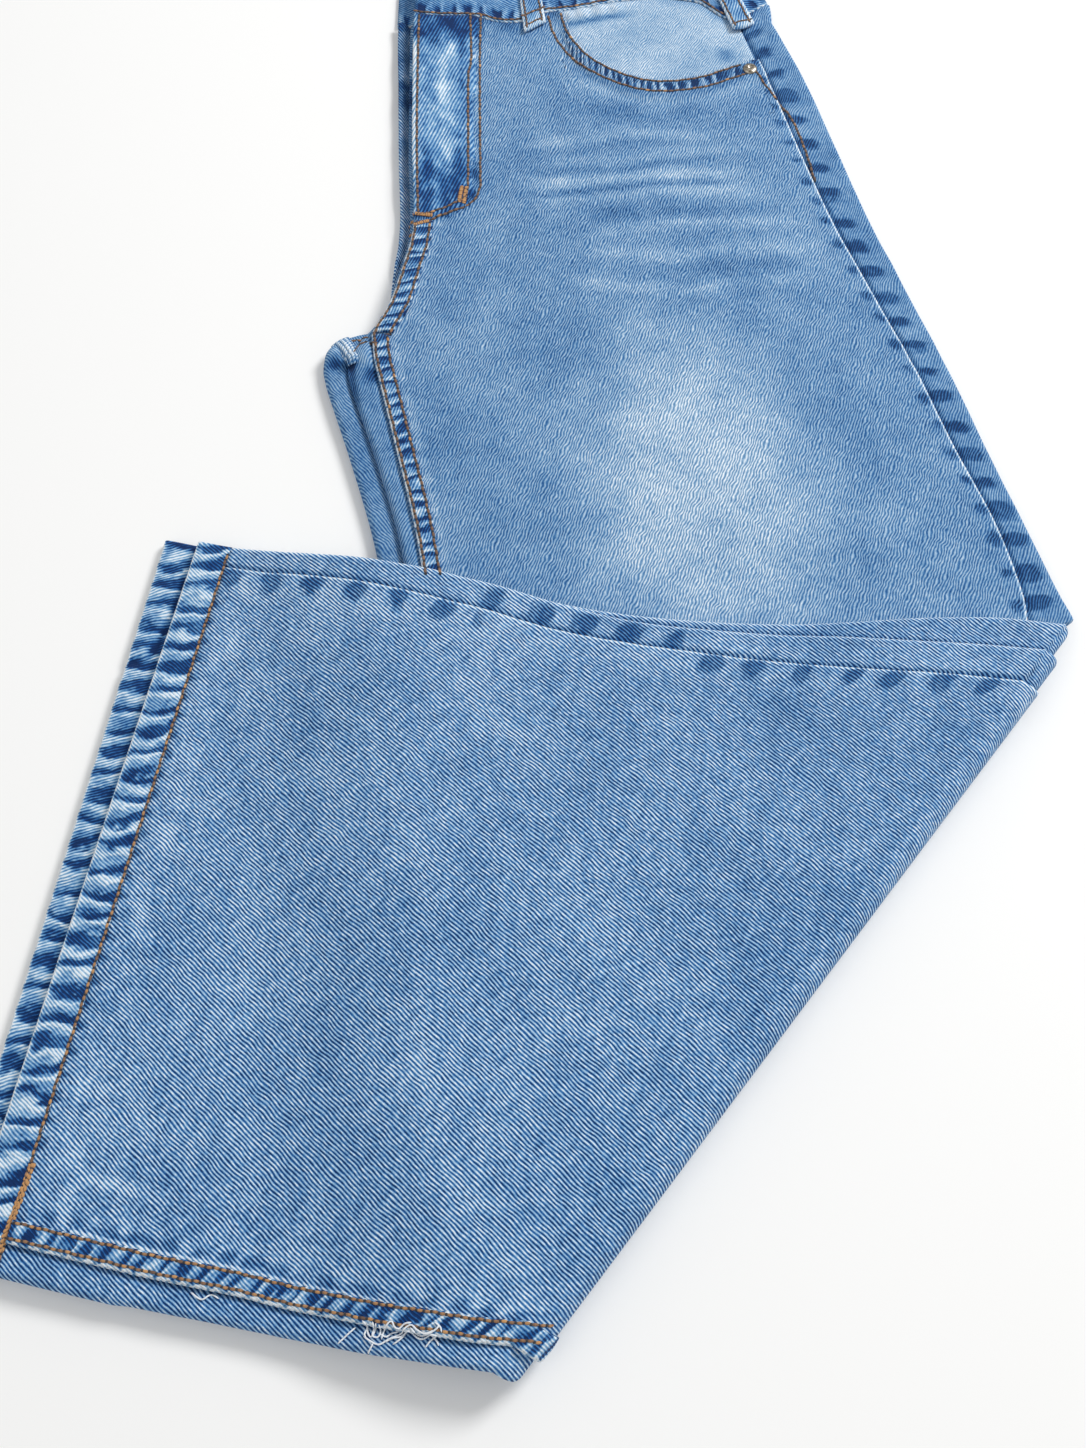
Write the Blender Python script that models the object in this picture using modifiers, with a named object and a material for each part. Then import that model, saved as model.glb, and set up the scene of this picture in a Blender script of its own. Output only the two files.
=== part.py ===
"""Wide-leg jeans, folded in half down the front and then turned up across the knees.

The garment lies on a floor. The wearer's left front shows on the upper leg, and the right
front, turned over by the knee fold, shows on the lower leg. Each layer of the stack is one
solid that runs from the waist seam, round the knee fold, to its hem. Run it in Blender.
"""

import math

import bmesh
import bpy
from mathutils import Vector

MM = 0.001

# The plan is measured in millimetres, X to the wearer's left and Y towards the waist.
# This point of the plan is the middle of the garment's box, and becomes the origin.
PLAN_CENTRE = Vector((7.7, 456.0))

# Cloth and layers. Depth is the distance from the middle of the knee fold: the four layers
# wrap round it like pages, so a layer has one depth on the upper leg and in the flap.
CLOTH = 1.3
GAP = 0.3
SIDE_GAP = 0.7
BACK_LAYER = 4.0
FOLD_AIR = 0.9
LEFT_FRONT_DEPTH = FOLD_AIR + CLOTH / 2
LEFT_BACK_LOW = FOLD_AIR + CLOTH + GAP
LEFT_BACK_HIGH = LEFT_BACK_LOW + BACK_LAYER
RIGHT_BACK_LOW = LEFT_BACK_HIGH + GAP
RIGHT_BACK_HIGH = RIGHT_BACK_LOW + BACK_LAYER
RIGHT_FRONT_DEPTH = RIGHT_BACK_HIGH + GAP + CLOTH / 2
FOLD_HEIGHT = RIGHT_FRONT_DEPTH + CLOTH / 2

# Edge rolls: where a back panel shows past the layer above it, it swells up to that
# layer's level and is rounded over its rim.
ROLL_SWELL = 1.3
ROLL_MINIMUM = 6.0
RIM_ROUND = 1.6
RIM_EASE = 0.5
PLAIN_RIM = (RIM_ROUND, 3.0, 4.4)

# The flap comes down to the floor left of the upper leg: over this length, from this line.
FLAP_DROP = FOLD_HEIGHT + FOLD_AIR
DROP_LENGTH = 95.0
DROP_LINE_TOP = Vector((-82.0, 416.0))
DROP_LINE_FOOT = Vector((-26.0, 30.0))

# Stations across the upper leg, from the waist seam to the knee fold. in_ is the visible
# left front's centre and inseam edge, out_ its outseam. The last columns say how far each
# other layer reaches past those edges: left back, right back and right front.
UPPER_COLUMNS = (
    "in_x", "in_y", "out_x", "out_y",
    "left_back_in", "right_back_in", "right_front_in",
    "left_back_out", "right_back_out", "right_front_out",
)
UPPER_STATIONS = (
    (-85, 846, 127, 838, -3, 3, 11, 24, 20, 1),
    (-85, 832, 132, 824, -3, 3, 11, 25, 21, 2),
    (-84, 790, 145, 784, -3, 3, 10, 25, 21, 6),
    (-82, 724, 161, 722, -3, 3, 9, 25, 21, 6),
    (-79, 664, 177, 664, -2, 3, 9, 24, 20, 6),
    (-84, 631, 188, 632, 0, 4, 6, 23, 19, 5),
    (-91, 600, 199, 600, 5.2, 8, 4, 22, 18, 5),
    (-101, 574, 209, 572, 20, 27, 8, 21, 17, 5),
    (-95, 546, 218, 546, 17, 31, 17, 20, 17, 5),
    (-83, 497, 232, 498, 13, 27, 16, 19, 16, 4),
    (-71, 447, 248, 450, 10, 24, 14, 17, 14, 4),
    (-63, 402, 257, 408, 9, 22, 12, 20, 16, 4),
    (-50, 325, 258, 388, 9, 20, 9, 27, 18, 3),
    (-36, 230, 256, 375, 10, 17, 5, 33, 19, 2),
    (-22, 125, 253, 365, 10, 15, 2, 38, 20, 1),
)

# The knee fold's own line, and how many steps its half turn has.
FOLD_STATION = (-10, 35, 249, 356, 10, 13, 0, 42, 20, 0)
FOLD_STEPS = 8

# Stations across the flap, from the knee fold to the right leg's hem stitch. in_ and out_
# are now the right front's inseam and outseam. The other columns are the reach of the
# right back, the left back and the left front, which lies on the floor.
FLAP_COLUMNS = (
    "in_x", "in_y", "out_x", "out_y",
    "right_back_in", "left_back_in", "left_front_in",
    "right_back_out", "left_back_out", "left_front_out",
)
FLAP_STATIONS = (
    (-30, 31, 214, 352, 12, 9, 0, 19, 39, 4),
    (-50, 34, 178, 353, 12, 9, 1, 18, 36, 8),
    (-70, 37, 144, 355, 12, 9, 2, 16, 31, 11),
    (-91, 41, 110, 359, 12, 9, 2, 14, 26, 12),
    (-112, 45, 75, 364, 12, 9, 2, 14, 24, 12),
    (-133, 50, 40, 368, 13, 9, 2, 15, 23, 11),
    (-154, 54, 5, 375, 13, 9, 2, 17, 21, 9),
    (-175, 58, -30, 386, 13, 10, 3, 18, 19, 8),
    (-184, 60, -48, 391, 14, 10, 3, 18, 18, 7),
    (-193, 62, -65, 396, 14, 10, 3, 18, 17, 6),
    (-202, 64, -85, 401, 14, 10, 3, 17, 16, 6),
    (-211, 66, -105, 406, 14, 10, 3, 16, 15, 5),
    (-220, 68, -128, 411, 14, 11, 3, 15, 15, 5),
    (-229, 70, -150, 415, 14, 11, 3, 15, 14, 5),
    (-238, 72, -172, 420, 14, 11, 3, 14, 14, 5),
)

# Hems. The left leg's hem lies under the right leg's and shows past it.
HEM_WIDTH = 19.0
HEM_CLOTH = 2.2
LEFT_HEM_STEP_IN = 12.0
LEFT_HEM_STEP_OUT = 20.0

# Columns across a panel, as shares of its width. They hold the fly's edge, at 0.215, and
# the front corner of the pocket mouth, at 0.46 of the waist seam.
COLUMN_SHARES = (0.02, 0.10, 0.215, 0.27, 0.40, 0.46, 0.52, 0.62, 0.75, 0.88, 0.98)
FLY_COLUMN_LIMIT = 0.22
POCKET_COLUMN_START = 0.39

# The waist seam dips at the front belt loop and at the outseam. Its bends lie on columns.
WAIST_SEAM = (
    (-85.0, 846), (-39.4, 843), (-27.8, 841), (-0.2, 847), (12.5, 850),
    (46.4, 857), (74.0, 860), (101.6, 856), (122.8, 839.5), (127.0, 839.5),
    (129.3, 840.3), (155.0, 858),
)
# The pocket mouth, from the waist seam round to the outseam.
POCKET_MOUTH = (
    (12.5, 850), (25, 817), (46, 796), (74, 785), (101, 790), (122, 799), (146, 803),
)
# How much of the waist line's wave each of the first stations keeps. The right back ends
# lower, because its coarser edge would cross the band.
WAVE_SHARES = (1.0, 1.0, 0.6, 0.25)
HIDDEN_TRIM = 2.5

# Sewn pieces.
FLY_TOP_Y = 844.6
FLY_FOOT_Y = 668.0
FLY_EDGE_X = -43.0
FLY_CORNER = 24.0
FACING_UNDERLAP = 11.0
FACING_EDGE_X = 3.0
FACING_SHARES = (0.0, 0.08, 0.17, 0.35, 0.573, 0.795, 0.966, 1.0)
LIFT = CLOTH + GAP
FELL_WIDTH = 10.5
FELL_CLOTH = 1.1
RISE_FELL_WIDTH = 12.0

# Waistband: one strip that runs from the fly, round the folded waist, back to the fly.
BAND_TOP = (
    (-97.0, 885), (-39.4, 883), (-27.8, 882), (12.5, 887), (60.0, 893), (101.6, 891),
    (127.0, 884), (155.0, 889),
)
BAND_CLOTH = 2.6
BAND_PITCH = 3.3
BAND_LEAN = 0.33
BAND_FLY_X = -85.0
BAND_UNDER_X = -97.0
BAND_BACK_X = -82.0
BAND_SIDE_X = 147.0
BAND_COLUMNS_X = (-39.4, -27.8, -0.2, 12.5, 46.4, 74.0, 101.6, 122.8, 127.0, 129.3)
LOOP_WIDTH = 14.0
LOOP_CLOTH = 1.6
LOOP_HEIGHT = 13.0
LOOP_SHARES = (-0.27, 0.5, 0.97)

# Metal pieces.
BUTTON_RADIUS = 8.5
BUTTON_HEIGHT = 3.6
BUTTON_PLACE = (-68.0, 866.0)
RIVET_RADIUS = 4.7
RIVET_HEIGHT = 1.7
RIVET_PLACE = (133.5, 792.0)
CAP_TAPER = 0.78

COLOURS = {
    "denim": (0.24, 0.42, 0.66, 1.0),
    "pale_denim": (0.42, 0.58, 0.78, 1.0),
    "seam_denim": (0.20, 0.36, 0.60, 1.0),
    "metal": (0.55, 0.50, 0.44, 1.0),
}


def clear_scene():
    """Remove every object, and give the part an empty collection of its own."""
    for item in list(bpy.data.objects):
        bpy.data.objects.remove(item, do_unlink=True)
    collection = bpy.data.collections.new("wide_leg_jeans")
    bpy.context.scene.collection.children.link(collection)
    return collection


def make_material(name):
    """A plain Principled material in the piece's colour."""
    material = bpy.data.materials.new(name)
    material.use_nodes = True
    shader = material.node_tree.nodes["Principled BSDF"]
    shader.inputs["Base Color"].default_value = COLOURS[name]
    shader.inputs["Metallic"].default_value = 1.0 if name == "metal" else 0.0
    shader.inputs["Roughness"].default_value = 0.35 if name == "metal" else 0.9
    return material


def add_piece(name, form, material, solidify=0.0):
    """Turn a bmesh in plan millimetres into a named object, with an optional cloth wall."""
    for vertex in form.verts:
        vertex.co.x = (vertex.co.x - PLAN_CENTRE.x) * MM
        vertex.co.y = (vertex.co.y - PLAN_CENTRE.y) * MM
        vertex.co.z = vertex.co.z * MM
    mesh = bpy.data.meshes.new(name)
    form.to_mesh(mesh)
    form.free()
    piece = bpy.data.objects.new(name, mesh)
    COLLECTION.objects.link(piece)
    mesh.materials.append(material)
    if solidify:
        wall = piece.modifiers.new("cloth", "SOLIDIFY")
        wall.thickness = solidify * MM
        wall.offset = 0.0
        wall.use_even_offset = True
    return piece


def read_line(rows, x):
    """Height of a broken line over x, held level past its ends."""
    if x <= rows[0][0]:
        return float(rows[0][1])
    for (x0, y0), (x1, y1) in zip(rows, rows[1:]):
        if x <= x1:
            return y0 + (y1 - y0) * (x - x0) / (x1 - x0)
    return float(rows[-1][1])


def smooth_step(share):
    share = min(max(share, 0.0), 1.0)
    return share * share * (3.0 - 2.0 * share)


def make_station(columns, row, turn, rank):
    """One section across the leg: its two seam points, its reaches and its turn."""
    values = dict(zip(columns, row))
    station = {
        "in": Vector((values["in_x"], values["in_y"])),
        "out": Vector((values["out_x"], values["out_y"])),
        "turn": turn,
        "rank": rank,
    }
    for name, value in values.items():
        if name.startswith(("left_", "right_")):
            station[name] = float(value)
    station.setdefault("left_front_in", 0.0)
    station.setdefault("left_front_out", 0.0)
    station.setdefault("right_front_in", 0.0)
    station.setdefault("right_front_out", 0.0)
    return station


def moved_along(station, before, step_in, step_out):
    """A station past the last one, moved on along both seams."""
    moved = dict(station)
    moved["in"] = station["in"] + (station["in"] - before["in"]).normalized() * step_in
    moved["out"] = station["out"] + (station["out"] - before["out"]).normalized() * step_out
    return moved


def all_stations():
    """Stations from the waist seam, round the knee fold, to the right leg's hem stitch."""
    stations = []
    for rank, row in enumerate(UPPER_STATIONS):
        stations.append(make_station(UPPER_COLUMNS, row, 0.0, rank))
    for step in range(FOLD_STEPS + 1):
        turn = math.pi * step / FOLD_STEPS
        stations.append(make_station(UPPER_COLUMNS, FOLD_STATION, turn, len(UPPER_STATIONS)))
    for row in FLAP_STATIONS:
        stations.append(make_station(FLAP_COLUMNS, row, math.pi, len(UPPER_STATIONS) + 1))
    return stations


def fold_outward():
    """Level direction that points out of the knee fold."""
    fold = make_station(UPPER_COLUMNS, FOLD_STATION, 0.0, 0)
    along = (fold["out"] - fold["in"]).normalized()
    return Vector((along.y, -along.x))


def flap_drop(place):
    """How far the flap has come down to the floor at a point of the plan."""
    along = (DROP_LINE_TOP - DROP_LINE_FOOT).normalized()
    offset = place - DROP_LINE_FOOT
    distance = along.x * offset.y - along.y * offset.x
    return FLAP_DROP * smooth_step(distance / DROP_LENGTH)


def seam_x(side, y):
    """Where the centre edge or the outseam of the upper leg lies at a height of the plan."""
    column = UPPER_COLUMNS.index(side + "_x")
    rows = tuple((row[column + 1], row[column]) for row in reversed(UPPER_STATIONS[:8]))
    return read_line(rows, y)


def follow_waist(station, place, share, top_line):
    """Slide a point near the waist along the seams, so that the first station follows the
    top line."""
    first = STATIONS[0]
    x, y = place
    for _ in range(3):
        top_share = (x - first["in"].x) / (first["out"].x - first["in"].x)
        straight = first["in"].y + (first["out"].y - first["in"].y) * top_share
        y = place.y + WAVE_SHARES[station["rank"]] * (top_line(x) - straight)
        left = seam_x("in", y)
        right = seam_x("out", y)
        x = left + (right - left) * share
    return Vector((x, y))


def layer_point(station, across, depth, top_line=None):
    """A point of a layer: so far in from the in seam, at that depth of the stack."""
    along = (station["out"] - station["in"]).normalized()
    place = station["in"] + along * across
    if top_line and station["rank"] < len(WAVE_SHARES):
        place = follow_waist(station, place, across / width_of(station), top_line)
    height = FOLD_HEIGHT - depth * math.cos(station["turn"])
    if station["rank"] > len(UPPER_STATIONS):
        height -= flap_drop(place)
    place = place + FOLD_OUTWARD * (depth * math.sin(station["turn"]))
    return Vector((place.x, place.y, height))


def width_of(station):
    return (station["out"] - station["in"]).length


def waist_top(x):
    return read_line(WAIST_SEAM, x) - GAP


def hidden_top(x):
    return waist_top(x) - HIDDEN_TRIM


def pocket_top(x):
    if x < POCKET_MOUTH[0][0]:
        return waist_top(x)
    return min(waist_top(x), read_line(POCKET_MOUTH, x))


def front_lift(station, share):
    """The left front stands up over the fly facing and over the pocket facing."""
    if station["rank"] <= 4 and share < FLY_COLUMN_LIMIT:
        return LIFT
    if station["rank"] <= 1 and share > POCKET_COLUMN_START:
        return LIFT
    return 0.0


def add_cell(form, near_first, far_first, far_second, near_second):
    """Two triangles between two sections. Every layer is cut along the same diagonal, so
    that its faces stay level with those of the layer above it."""
    form.faces.new((near_first, far_first, far_second))
    form.faces.new((near_first, far_second, near_second))


def grid_form(rows):
    """An open sheet from rows of points."""
    form = bmesh.new()
    sheet = [[form.verts.new(point) for point in row] for row in rows]
    for first, second in zip(sheet, sheet[1:]):
        for step in range(len(first) - 1):
            add_cell(form, first[step], first[step + 1], second[step + 1], second[step])
    bmesh.ops.recalc_face_normals(form, faces=form.faces)
    return form


def loft_form(rings):
    """A closed solid through rings of points, with flat ends. The second half of each ring
    runs back across the panel."""
    form = bmesh.new()
    loops = [[form.verts.new(point) for point in ring] for ring in rings]
    count = len(loops[0])
    for first, second in zip(loops, loops[1:]):
        for step in range(count):
            after = (step + 1) % count
            if step < count // 2:
                add_cell(form, first[step], first[after], second[after], second[step])
            else:
                add_cell(form, first[after], first[step], second[step], second[after])
    for loop in (loops[0], loops[-1]):
        # An end is a row of cells between its two faces, as it follows the wavy waist seam.
        form.faces.new((loop[0], loop[1], loop[-1]))
        for step in range(1, count // 2 - 1):
            form.faces.new((loop[step], loop[step + 1], loop[-step - 1], loop[-step]))
        form.faces.new((loop[count // 2 - 1], loop[count // 2], loop[count // 2 + 1]))
    bmesh.ops.recalc_face_normals(form, faces=form.faces)
    return form


def front_panel(name, depth, stations, top_line, lifted):
    """A front panel: one cloth wall from the waist seam to the hem stitch."""
    rows = []
    for station in stations:
        width = width_of(station)
        shares = [0.0, *COLUMN_SHARES, 1.0]
        spots = [-station[name + "_in"]]
        spots += [share * width for share in COLUMN_SHARES]
        spots += [width + station[name + "_out"]]
        row = []
        for share, spot in zip(shares, spots):
            point = layer_point(station, spot, depth, top_line)
            if lifted:
                point.z += front_lift(station, share)
            row.append(point)
        rows.append(row)
    return add_piece(name + "_panel", grid_form(rows), MATERIALS["denim"], CLOTH)


def rim_points(reach, cover, swell):
    """Rim of a back panel from its edge inwards, as (distance past the seam, swell)."""
    if reach < cover + ROLL_MINIMUM:
        edge, second, third = (reach - step for step in PLAIN_RIM)
        return ((edge, -RIM_EASE), (second, 0.0), (third, 0.0))
    foot = cover + SIDE_GAP
    return ((reach - RIM_ROUND, swell - RIM_EASE), (foot + RIM_ROUND, swell), (foot, 0.0))


def back_side(station, reaches, covers, level, outward, swell):
    """One face of a back panel, from its in rim to its out rim, as (across, depth)."""
    width = width_of(station)
    rim_in = rim_points(reaches[0], covers[0], swell)
    rim_out = rim_points(reaches[1], covers[1], swell)
    first = 0.3 - rim_in[-1][0]
    last = width + rim_out[-1][0] - 0.3
    side = [(-past, level + outward * height) for past, height in rim_in]
    for number, share in enumerate(COLUMN_SHARES):
        # Where the panel is narrower than the layer above, its columns close up at the rim.
        low_limit = first + 0.1 * number
        high_limit = last - 0.1 * (len(COLUMN_SHARES) - number)
        side.append((min(max(share * width, low_limit), high_limit), level))
    side += [(width + past, level + outward * height) for past, height in reversed(rim_out)]
    return side


def back_panel(name, covers, low, high, stations, top_line):
    """A back panel: a slab that stands for its hidden layers, rounded where edges show."""
    rings = []
    for station in stations:
        flat = station["turn"] in (0.0, math.pi)
        upper_leg = station["turn"] < math.pi / 2
        swell = ROLL_SWELL if flat else 0.0
        cover = covers[0] if upper_leg else covers[1]
        reaches = (station[name + "_in"], station[name + "_out"])
        cover_reaches = (station[cover + "_in"], station[cover + "_out"])
        low_swell = swell if upper_leg else 0.0
        high_swell = 0.0 if upper_leg else swell
        low_side = back_side(station, reaches, cover_reaches, low, -1.0, low_swell)
        high_side = back_side(station, reaches, cover_reaches, high, 1.0, high_swell)
        middle = (low + high) / 2
        ring = [(-reaches[0], middle)] + low_side
        ring += [(width_of(station) + reaches[1], middle)] + list(reversed(high_side))
        rings.append([layer_point(station, across, depth, top_line) for across, depth in ring])
    return add_piece(name + "_panel", loft_form(rings), MATERIALS["denim"])


def between(first, second, share):
    """A station part of the way from one station to the next."""
    middle = dict(first)
    middle["in"] = first["in"].lerp(second["in"], share)
    middle["out"] = first["out"].lerp(second["out"], share)
    return middle


def across_for(stations, number, width):
    """Length across a station that gives a strip this width square to the in seam."""
    station = stations[number]
    if station["turn"] not in (0.0, math.pi):
        return width
    before = stations[max(number - 1, 0)]["in"]
    after = stations[min(number + 1, len(stations) - 1)]["in"]
    seam = (after - before).normalized()
    along = (station["out"] - station["in"]).normalized()
    return width / max(abs(seam.x * along.y - seam.y * along.x), 0.5)


def seam_fell(name, stations, width, depth, lifted=False):
    """A felled seam: a strip of cloth on a front panel's face along its in edge."""
    rows = []
    for number, station in enumerate(stations):
        row = []
        for edge in (0.4, across_for(stations, number, width)):
            point = layer_point(station, edge, depth)
            if lifted:
                point.z += front_lift(station, 0.0)
            row.append(point)
        rows.append(row)
    return add_piece(name, grid_form(rows), MATERIALS["seam_denim"], FELL_CLOTH)


def leg_hem(name, tube, low, high, first, last):
    """A hem: a flattened ring of turned-up cloth round a leg's opening."""
    middle = (low + high) / 2
    rise = (high - low - HEM_CLOTH) / 2
    rings = []
    for station in (first, between(first, last, 0.5), last):
        width = width_of(station)
        edge_in = HEM_CLOTH / 2 - station[tube + "_in"]
        edge_out = width + station[tube + "_out"] - HEM_CLOTH / 2
        inner = [share * width for share in COLUMN_SHARES]
        ring = [(edge_in, middle), (edge_in + rise, middle - rise)]
        ring += [(column, middle - rise) for column in inner]
        ring += [(edge_out - rise, middle - rise), (edge_out, middle)]
        ring += [(edge_out - rise, middle + rise)]
        ring += [(column, middle + rise) for column in reversed(inner)]
        ring += [(edge_in + rise, middle + rise)]
        points = [layer_point(station, across, depth) for across, depth in ring]
        rings.append(points + points[:1])
    form = grid_form(rings)
    bmesh.ops.remove_doubles(form, verts=form.verts, dist=0.01)
    return add_piece(name, form, MATERIALS["seam_denim"], HEM_CLOTH)


def fly_facing():
    """The fly's facing, under the left front: straight, with its foot curved like a J."""
    level = FOLD_HEIGHT - LEFT_FRONT_DEPTH
    corner_y = FLY_FOOT_Y + FLY_CORNER
    rows = [[(seam_x("in", FLY_TOP_Y), FLY_TOP_Y), (FLY_EDGE_X, waist_top(FLY_EDGE_X) - GAP)]]
    for y in (790.0, 724.0, corner_y):
        rows.append([(seam_x("in", y), y), (FLY_EDGE_X, y)])
    for step in range(1, 5):
        angle = math.radians(22.5 * step)
        y = corner_y - FLY_CORNER * math.sin(angle)
        rows.append([(seam_x("in", y), y), (FLY_EDGE_X - FLY_CORNER * (1.0 - math.cos(angle)), y)])
    points = [[Vector((x, y, level)) for x, y in row] for row in rows]
    return add_piece("fly_facing", grid_form(points), MATERIALS["denim"], CLOTH)


def pocket_facing():
    """The pocket's facing, which shows in the mouth and runs on under the front's edge."""
    level = FOLD_HEIGHT - LEFT_FRONT_DEPTH
    top_width = UPPER_STATIONS[0][2] - FACING_EDGE_X
    foot_width = UPPER_STATIONS[2][2] - 4.0 - FACING_EDGE_X
    tops = []
    feet = []
    for share in FACING_SHARES:
        top_x = FACING_EDGE_X + top_width * share
        foot_x = FACING_EDGE_X + foot_width * share
        tops.append(Vector((top_x, waist_top(top_x), level)))
        feet.append(Vector((foot_x, pocket_top(foot_x) - FACING_UNDERLAP, level)))
    middles = [top.lerp(foot, 0.5) for top, foot in zip(tops, feet)]
    form = grid_form([tops, middles, feet])
    return add_piece("pocket_facing", form, MATERIALS["pale_denim"], CLOTH)


def band_turn(x, level, outward):
    """Points round one fold of the waistband, from one level up to the next."""
    radius = BAND_PITCH / 2
    points = []
    for step in range(5):
        angle = math.radians(45 * step - 90)
        height = level + radius * (1.0 + math.sin(angle))
        points.append((x + outward * radius * math.cos(angle), height))
    return points


def waistband():
    """The waistband: one strip, folded under with the waist, from fly end to fly end."""
    levels = [BAND_CLOTH / 2 + BAND_PITCH * layer for layer in range(4)]
    path = [(BAND_UNDER_X, levels[0])] + [(x, levels[0]) for x in BAND_COLUMNS_X]
    path += band_turn(BAND_SIDE_X, levels[0], 1.0)
    path += [(x, levels[1]) for x in reversed(BAND_COLUMNS_X)]
    path += band_turn(BAND_BACK_X, levels[1], -1.0)
    path += [(x, levels[2]) for x in BAND_COLUMNS_X]
    path += band_turn(BAND_SIDE_X, levels[2], 1.0)
    path += [(x, levels[3]) for x in reversed(BAND_COLUMNS_X)] + [(BAND_FLY_X, levels[3])]
    rows = []
    for share in (0.0, 0.5, 1.0):
        rows.append([band_point(x, share, level) for x, level in path])
    return add_piece("waistband", grid_form(rows), MATERIALS["seam_denim"], BAND_CLOTH)


def band_point(x, share, level):
    """A point of the band, a share of its height up: it leans in towards the waist."""
    foot = read_line(WAIST_SEAM, x) + GAP
    rise = (read_line(BAND_TOP, x) - foot) * share
    side_share = (x - BAND_FLY_X) / (BAND_SIDE_X - BAND_FLY_X)
    return Vector((x - BAND_LEAN * rise * max(side_share, 0.0), foot + rise, level))


def belt_loop(name, left_x, right_x):
    """A belt loop: a flat strip over the band, with its foot just below the waist seam."""
    level = LOOP_HEIGHT + LOOP_CLOTH / 2
    rows = []
    for share in LOOP_SHARES:
        rows.append([band_point(x, share, level) for x in (left_x, right_x)])
    return add_piece(name, grid_form(rows), MATERIALS["seam_denim"], LOOP_CLOTH)


def metal_cap(name, place, radius, foot, height):
    """A round metal cap, narrower at its top, seated just above the cloth."""
    form = bmesh.new()
    made = bmesh.ops.create_cone(
        form, cap_ends=True, segments=24, radius1=radius, radius2=radius * CAP_TAPER, depth=height)
    bmesh.ops.translate(form, verts=made["verts"], vec=(place[0], place[1], foot + height / 2))
    return add_piece(name, form, MATERIALS["metal"])


def build():
    """Make every piece of the jeans."""
    stitch_line = STATIONS[-1]
    left_stitch = moved_along(stitch_line, STATIONS[-2], LEFT_HEM_STEP_IN, LEFT_HEM_STEP_OUT)
    left_stations = STATIONS + [left_stitch]
    upper = STATIONS[:len(UPPER_STATIONS)]
    fold_start = len(UPPER_STATIONS)
    fold = STATIONS[fold_start]

    front_panel("right_front", RIGHT_FRONT_DEPTH, STATIONS, waist_top, False)
    right_covers = ("left_back", "right_front")
    back_panel("right_back", right_covers, RIGHT_BACK_LOW, RIGHT_BACK_HIGH, STATIONS, hidden_top)
    left_covers = ("left_front", "right_back")
    back_panel("left_back", left_covers, LEFT_BACK_LOW, LEFT_BACK_HIGH, left_stations, waist_top)
    front_panel("left_front", LEFT_FRONT_DEPTH, left_stations, pocket_top, True)

    above_left_front = LEFT_FRONT_DEPTH - (CLOTH + FELL_CLOTH) / 2 - GAP
    above_right_front = RIGHT_FRONT_DEPTH + (CLOTH + FELL_CLOTH) / 2 + GAP
    rise_end = between(upper[6], upper[7], 0.96)
    seam_fell("rise_fell", upper[4:7] + [rise_end], RISE_FELL_WIDTH, above_left_front, lifted=True)
    inseam_end = between(upper[-1], fold, 0.9)
    seam_fell("left_inseam_fell", upper[7:] + [inseam_end], FELL_WIDTH, above_left_front)
    half_turn = fold_start + FOLD_STEPS // 2
    seam_fell("right_inseam_fell", STATIONS[half_turn:], FELL_WIDTH, above_right_front)

    right_start = moved_along(stitch_line, STATIONS[-2], GAP, GAP)
    right_edge = moved_along(stitch_line, STATIONS[-2], HEM_WIDTH, HEM_WIDTH)
    top_level = RIGHT_FRONT_DEPTH + CLOTH / 2
    leg_hem("right_hem", "right_back", RIGHT_BACK_LOW, top_level, right_start, right_edge)
    left_start = moved_along(left_stitch, STATIONS[-2], GAP, GAP)
    left_edge = moved_along(left_stitch, STATIONS[-2], HEM_WIDTH, HEM_WIDTH)
    leg_hem("left_hem", "left_back", FOLD_AIR, LEFT_BACK_HIGH, left_start, left_edge)

    fly_facing()
    pocket_facing()
    waistband()
    belt_loop("front_belt_loop", -22.0, -22.0 + LOOP_WIDTH)
    belt_loop("side_belt_loop", 121.0, 121.0 + LOOP_WIDTH)

    band_top = BAND_PITCH * 3 + BAND_CLOTH
    metal_cap("button", BUTTON_PLACE, BUTTON_RADIUS, band_top + GAP, BUTTON_HEIGHT)
    front_top = FOLD_HEIGHT - LEFT_FRONT_DEPTH + CLOTH / 2 + LIFT
    metal_cap("rivet", RIVET_PLACE, RIVET_RADIUS, front_top + GAP, RIVET_HEIGHT)


COLLECTION = clear_scene()
MATERIALS = {name: make_material(name) for name in COLOURS}
FOLD_OUTWARD = fold_outward()
STATIONS = all_stations()
build()
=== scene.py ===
"""Wide-leg jeans, folded down the front and turned up across the knees: the looks.

Lengths are millimetres in the plan, X to the wearer's left and Y towards the waist, with
the camera's foot at the start, until a piece is placed in the part's frame.
"""

import math

import bmesh
import bpy
from mathutils import Matrix, Vector, noise
from mathutils.bvhtree import BVHTree


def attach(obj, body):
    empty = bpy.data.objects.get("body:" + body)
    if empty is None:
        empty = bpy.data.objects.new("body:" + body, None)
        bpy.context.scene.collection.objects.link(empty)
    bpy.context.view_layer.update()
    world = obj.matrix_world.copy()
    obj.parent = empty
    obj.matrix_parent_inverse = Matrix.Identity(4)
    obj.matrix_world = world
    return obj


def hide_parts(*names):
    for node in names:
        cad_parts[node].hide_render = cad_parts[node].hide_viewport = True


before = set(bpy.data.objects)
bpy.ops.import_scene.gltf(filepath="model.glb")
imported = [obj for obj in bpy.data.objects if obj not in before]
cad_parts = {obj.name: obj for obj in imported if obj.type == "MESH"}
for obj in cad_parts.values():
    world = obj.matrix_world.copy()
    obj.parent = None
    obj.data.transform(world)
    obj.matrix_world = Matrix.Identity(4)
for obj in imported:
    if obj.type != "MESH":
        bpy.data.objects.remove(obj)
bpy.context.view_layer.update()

MM = 0.001
PLAN_CENTRE = Vector((7.7, 456.0))

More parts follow.
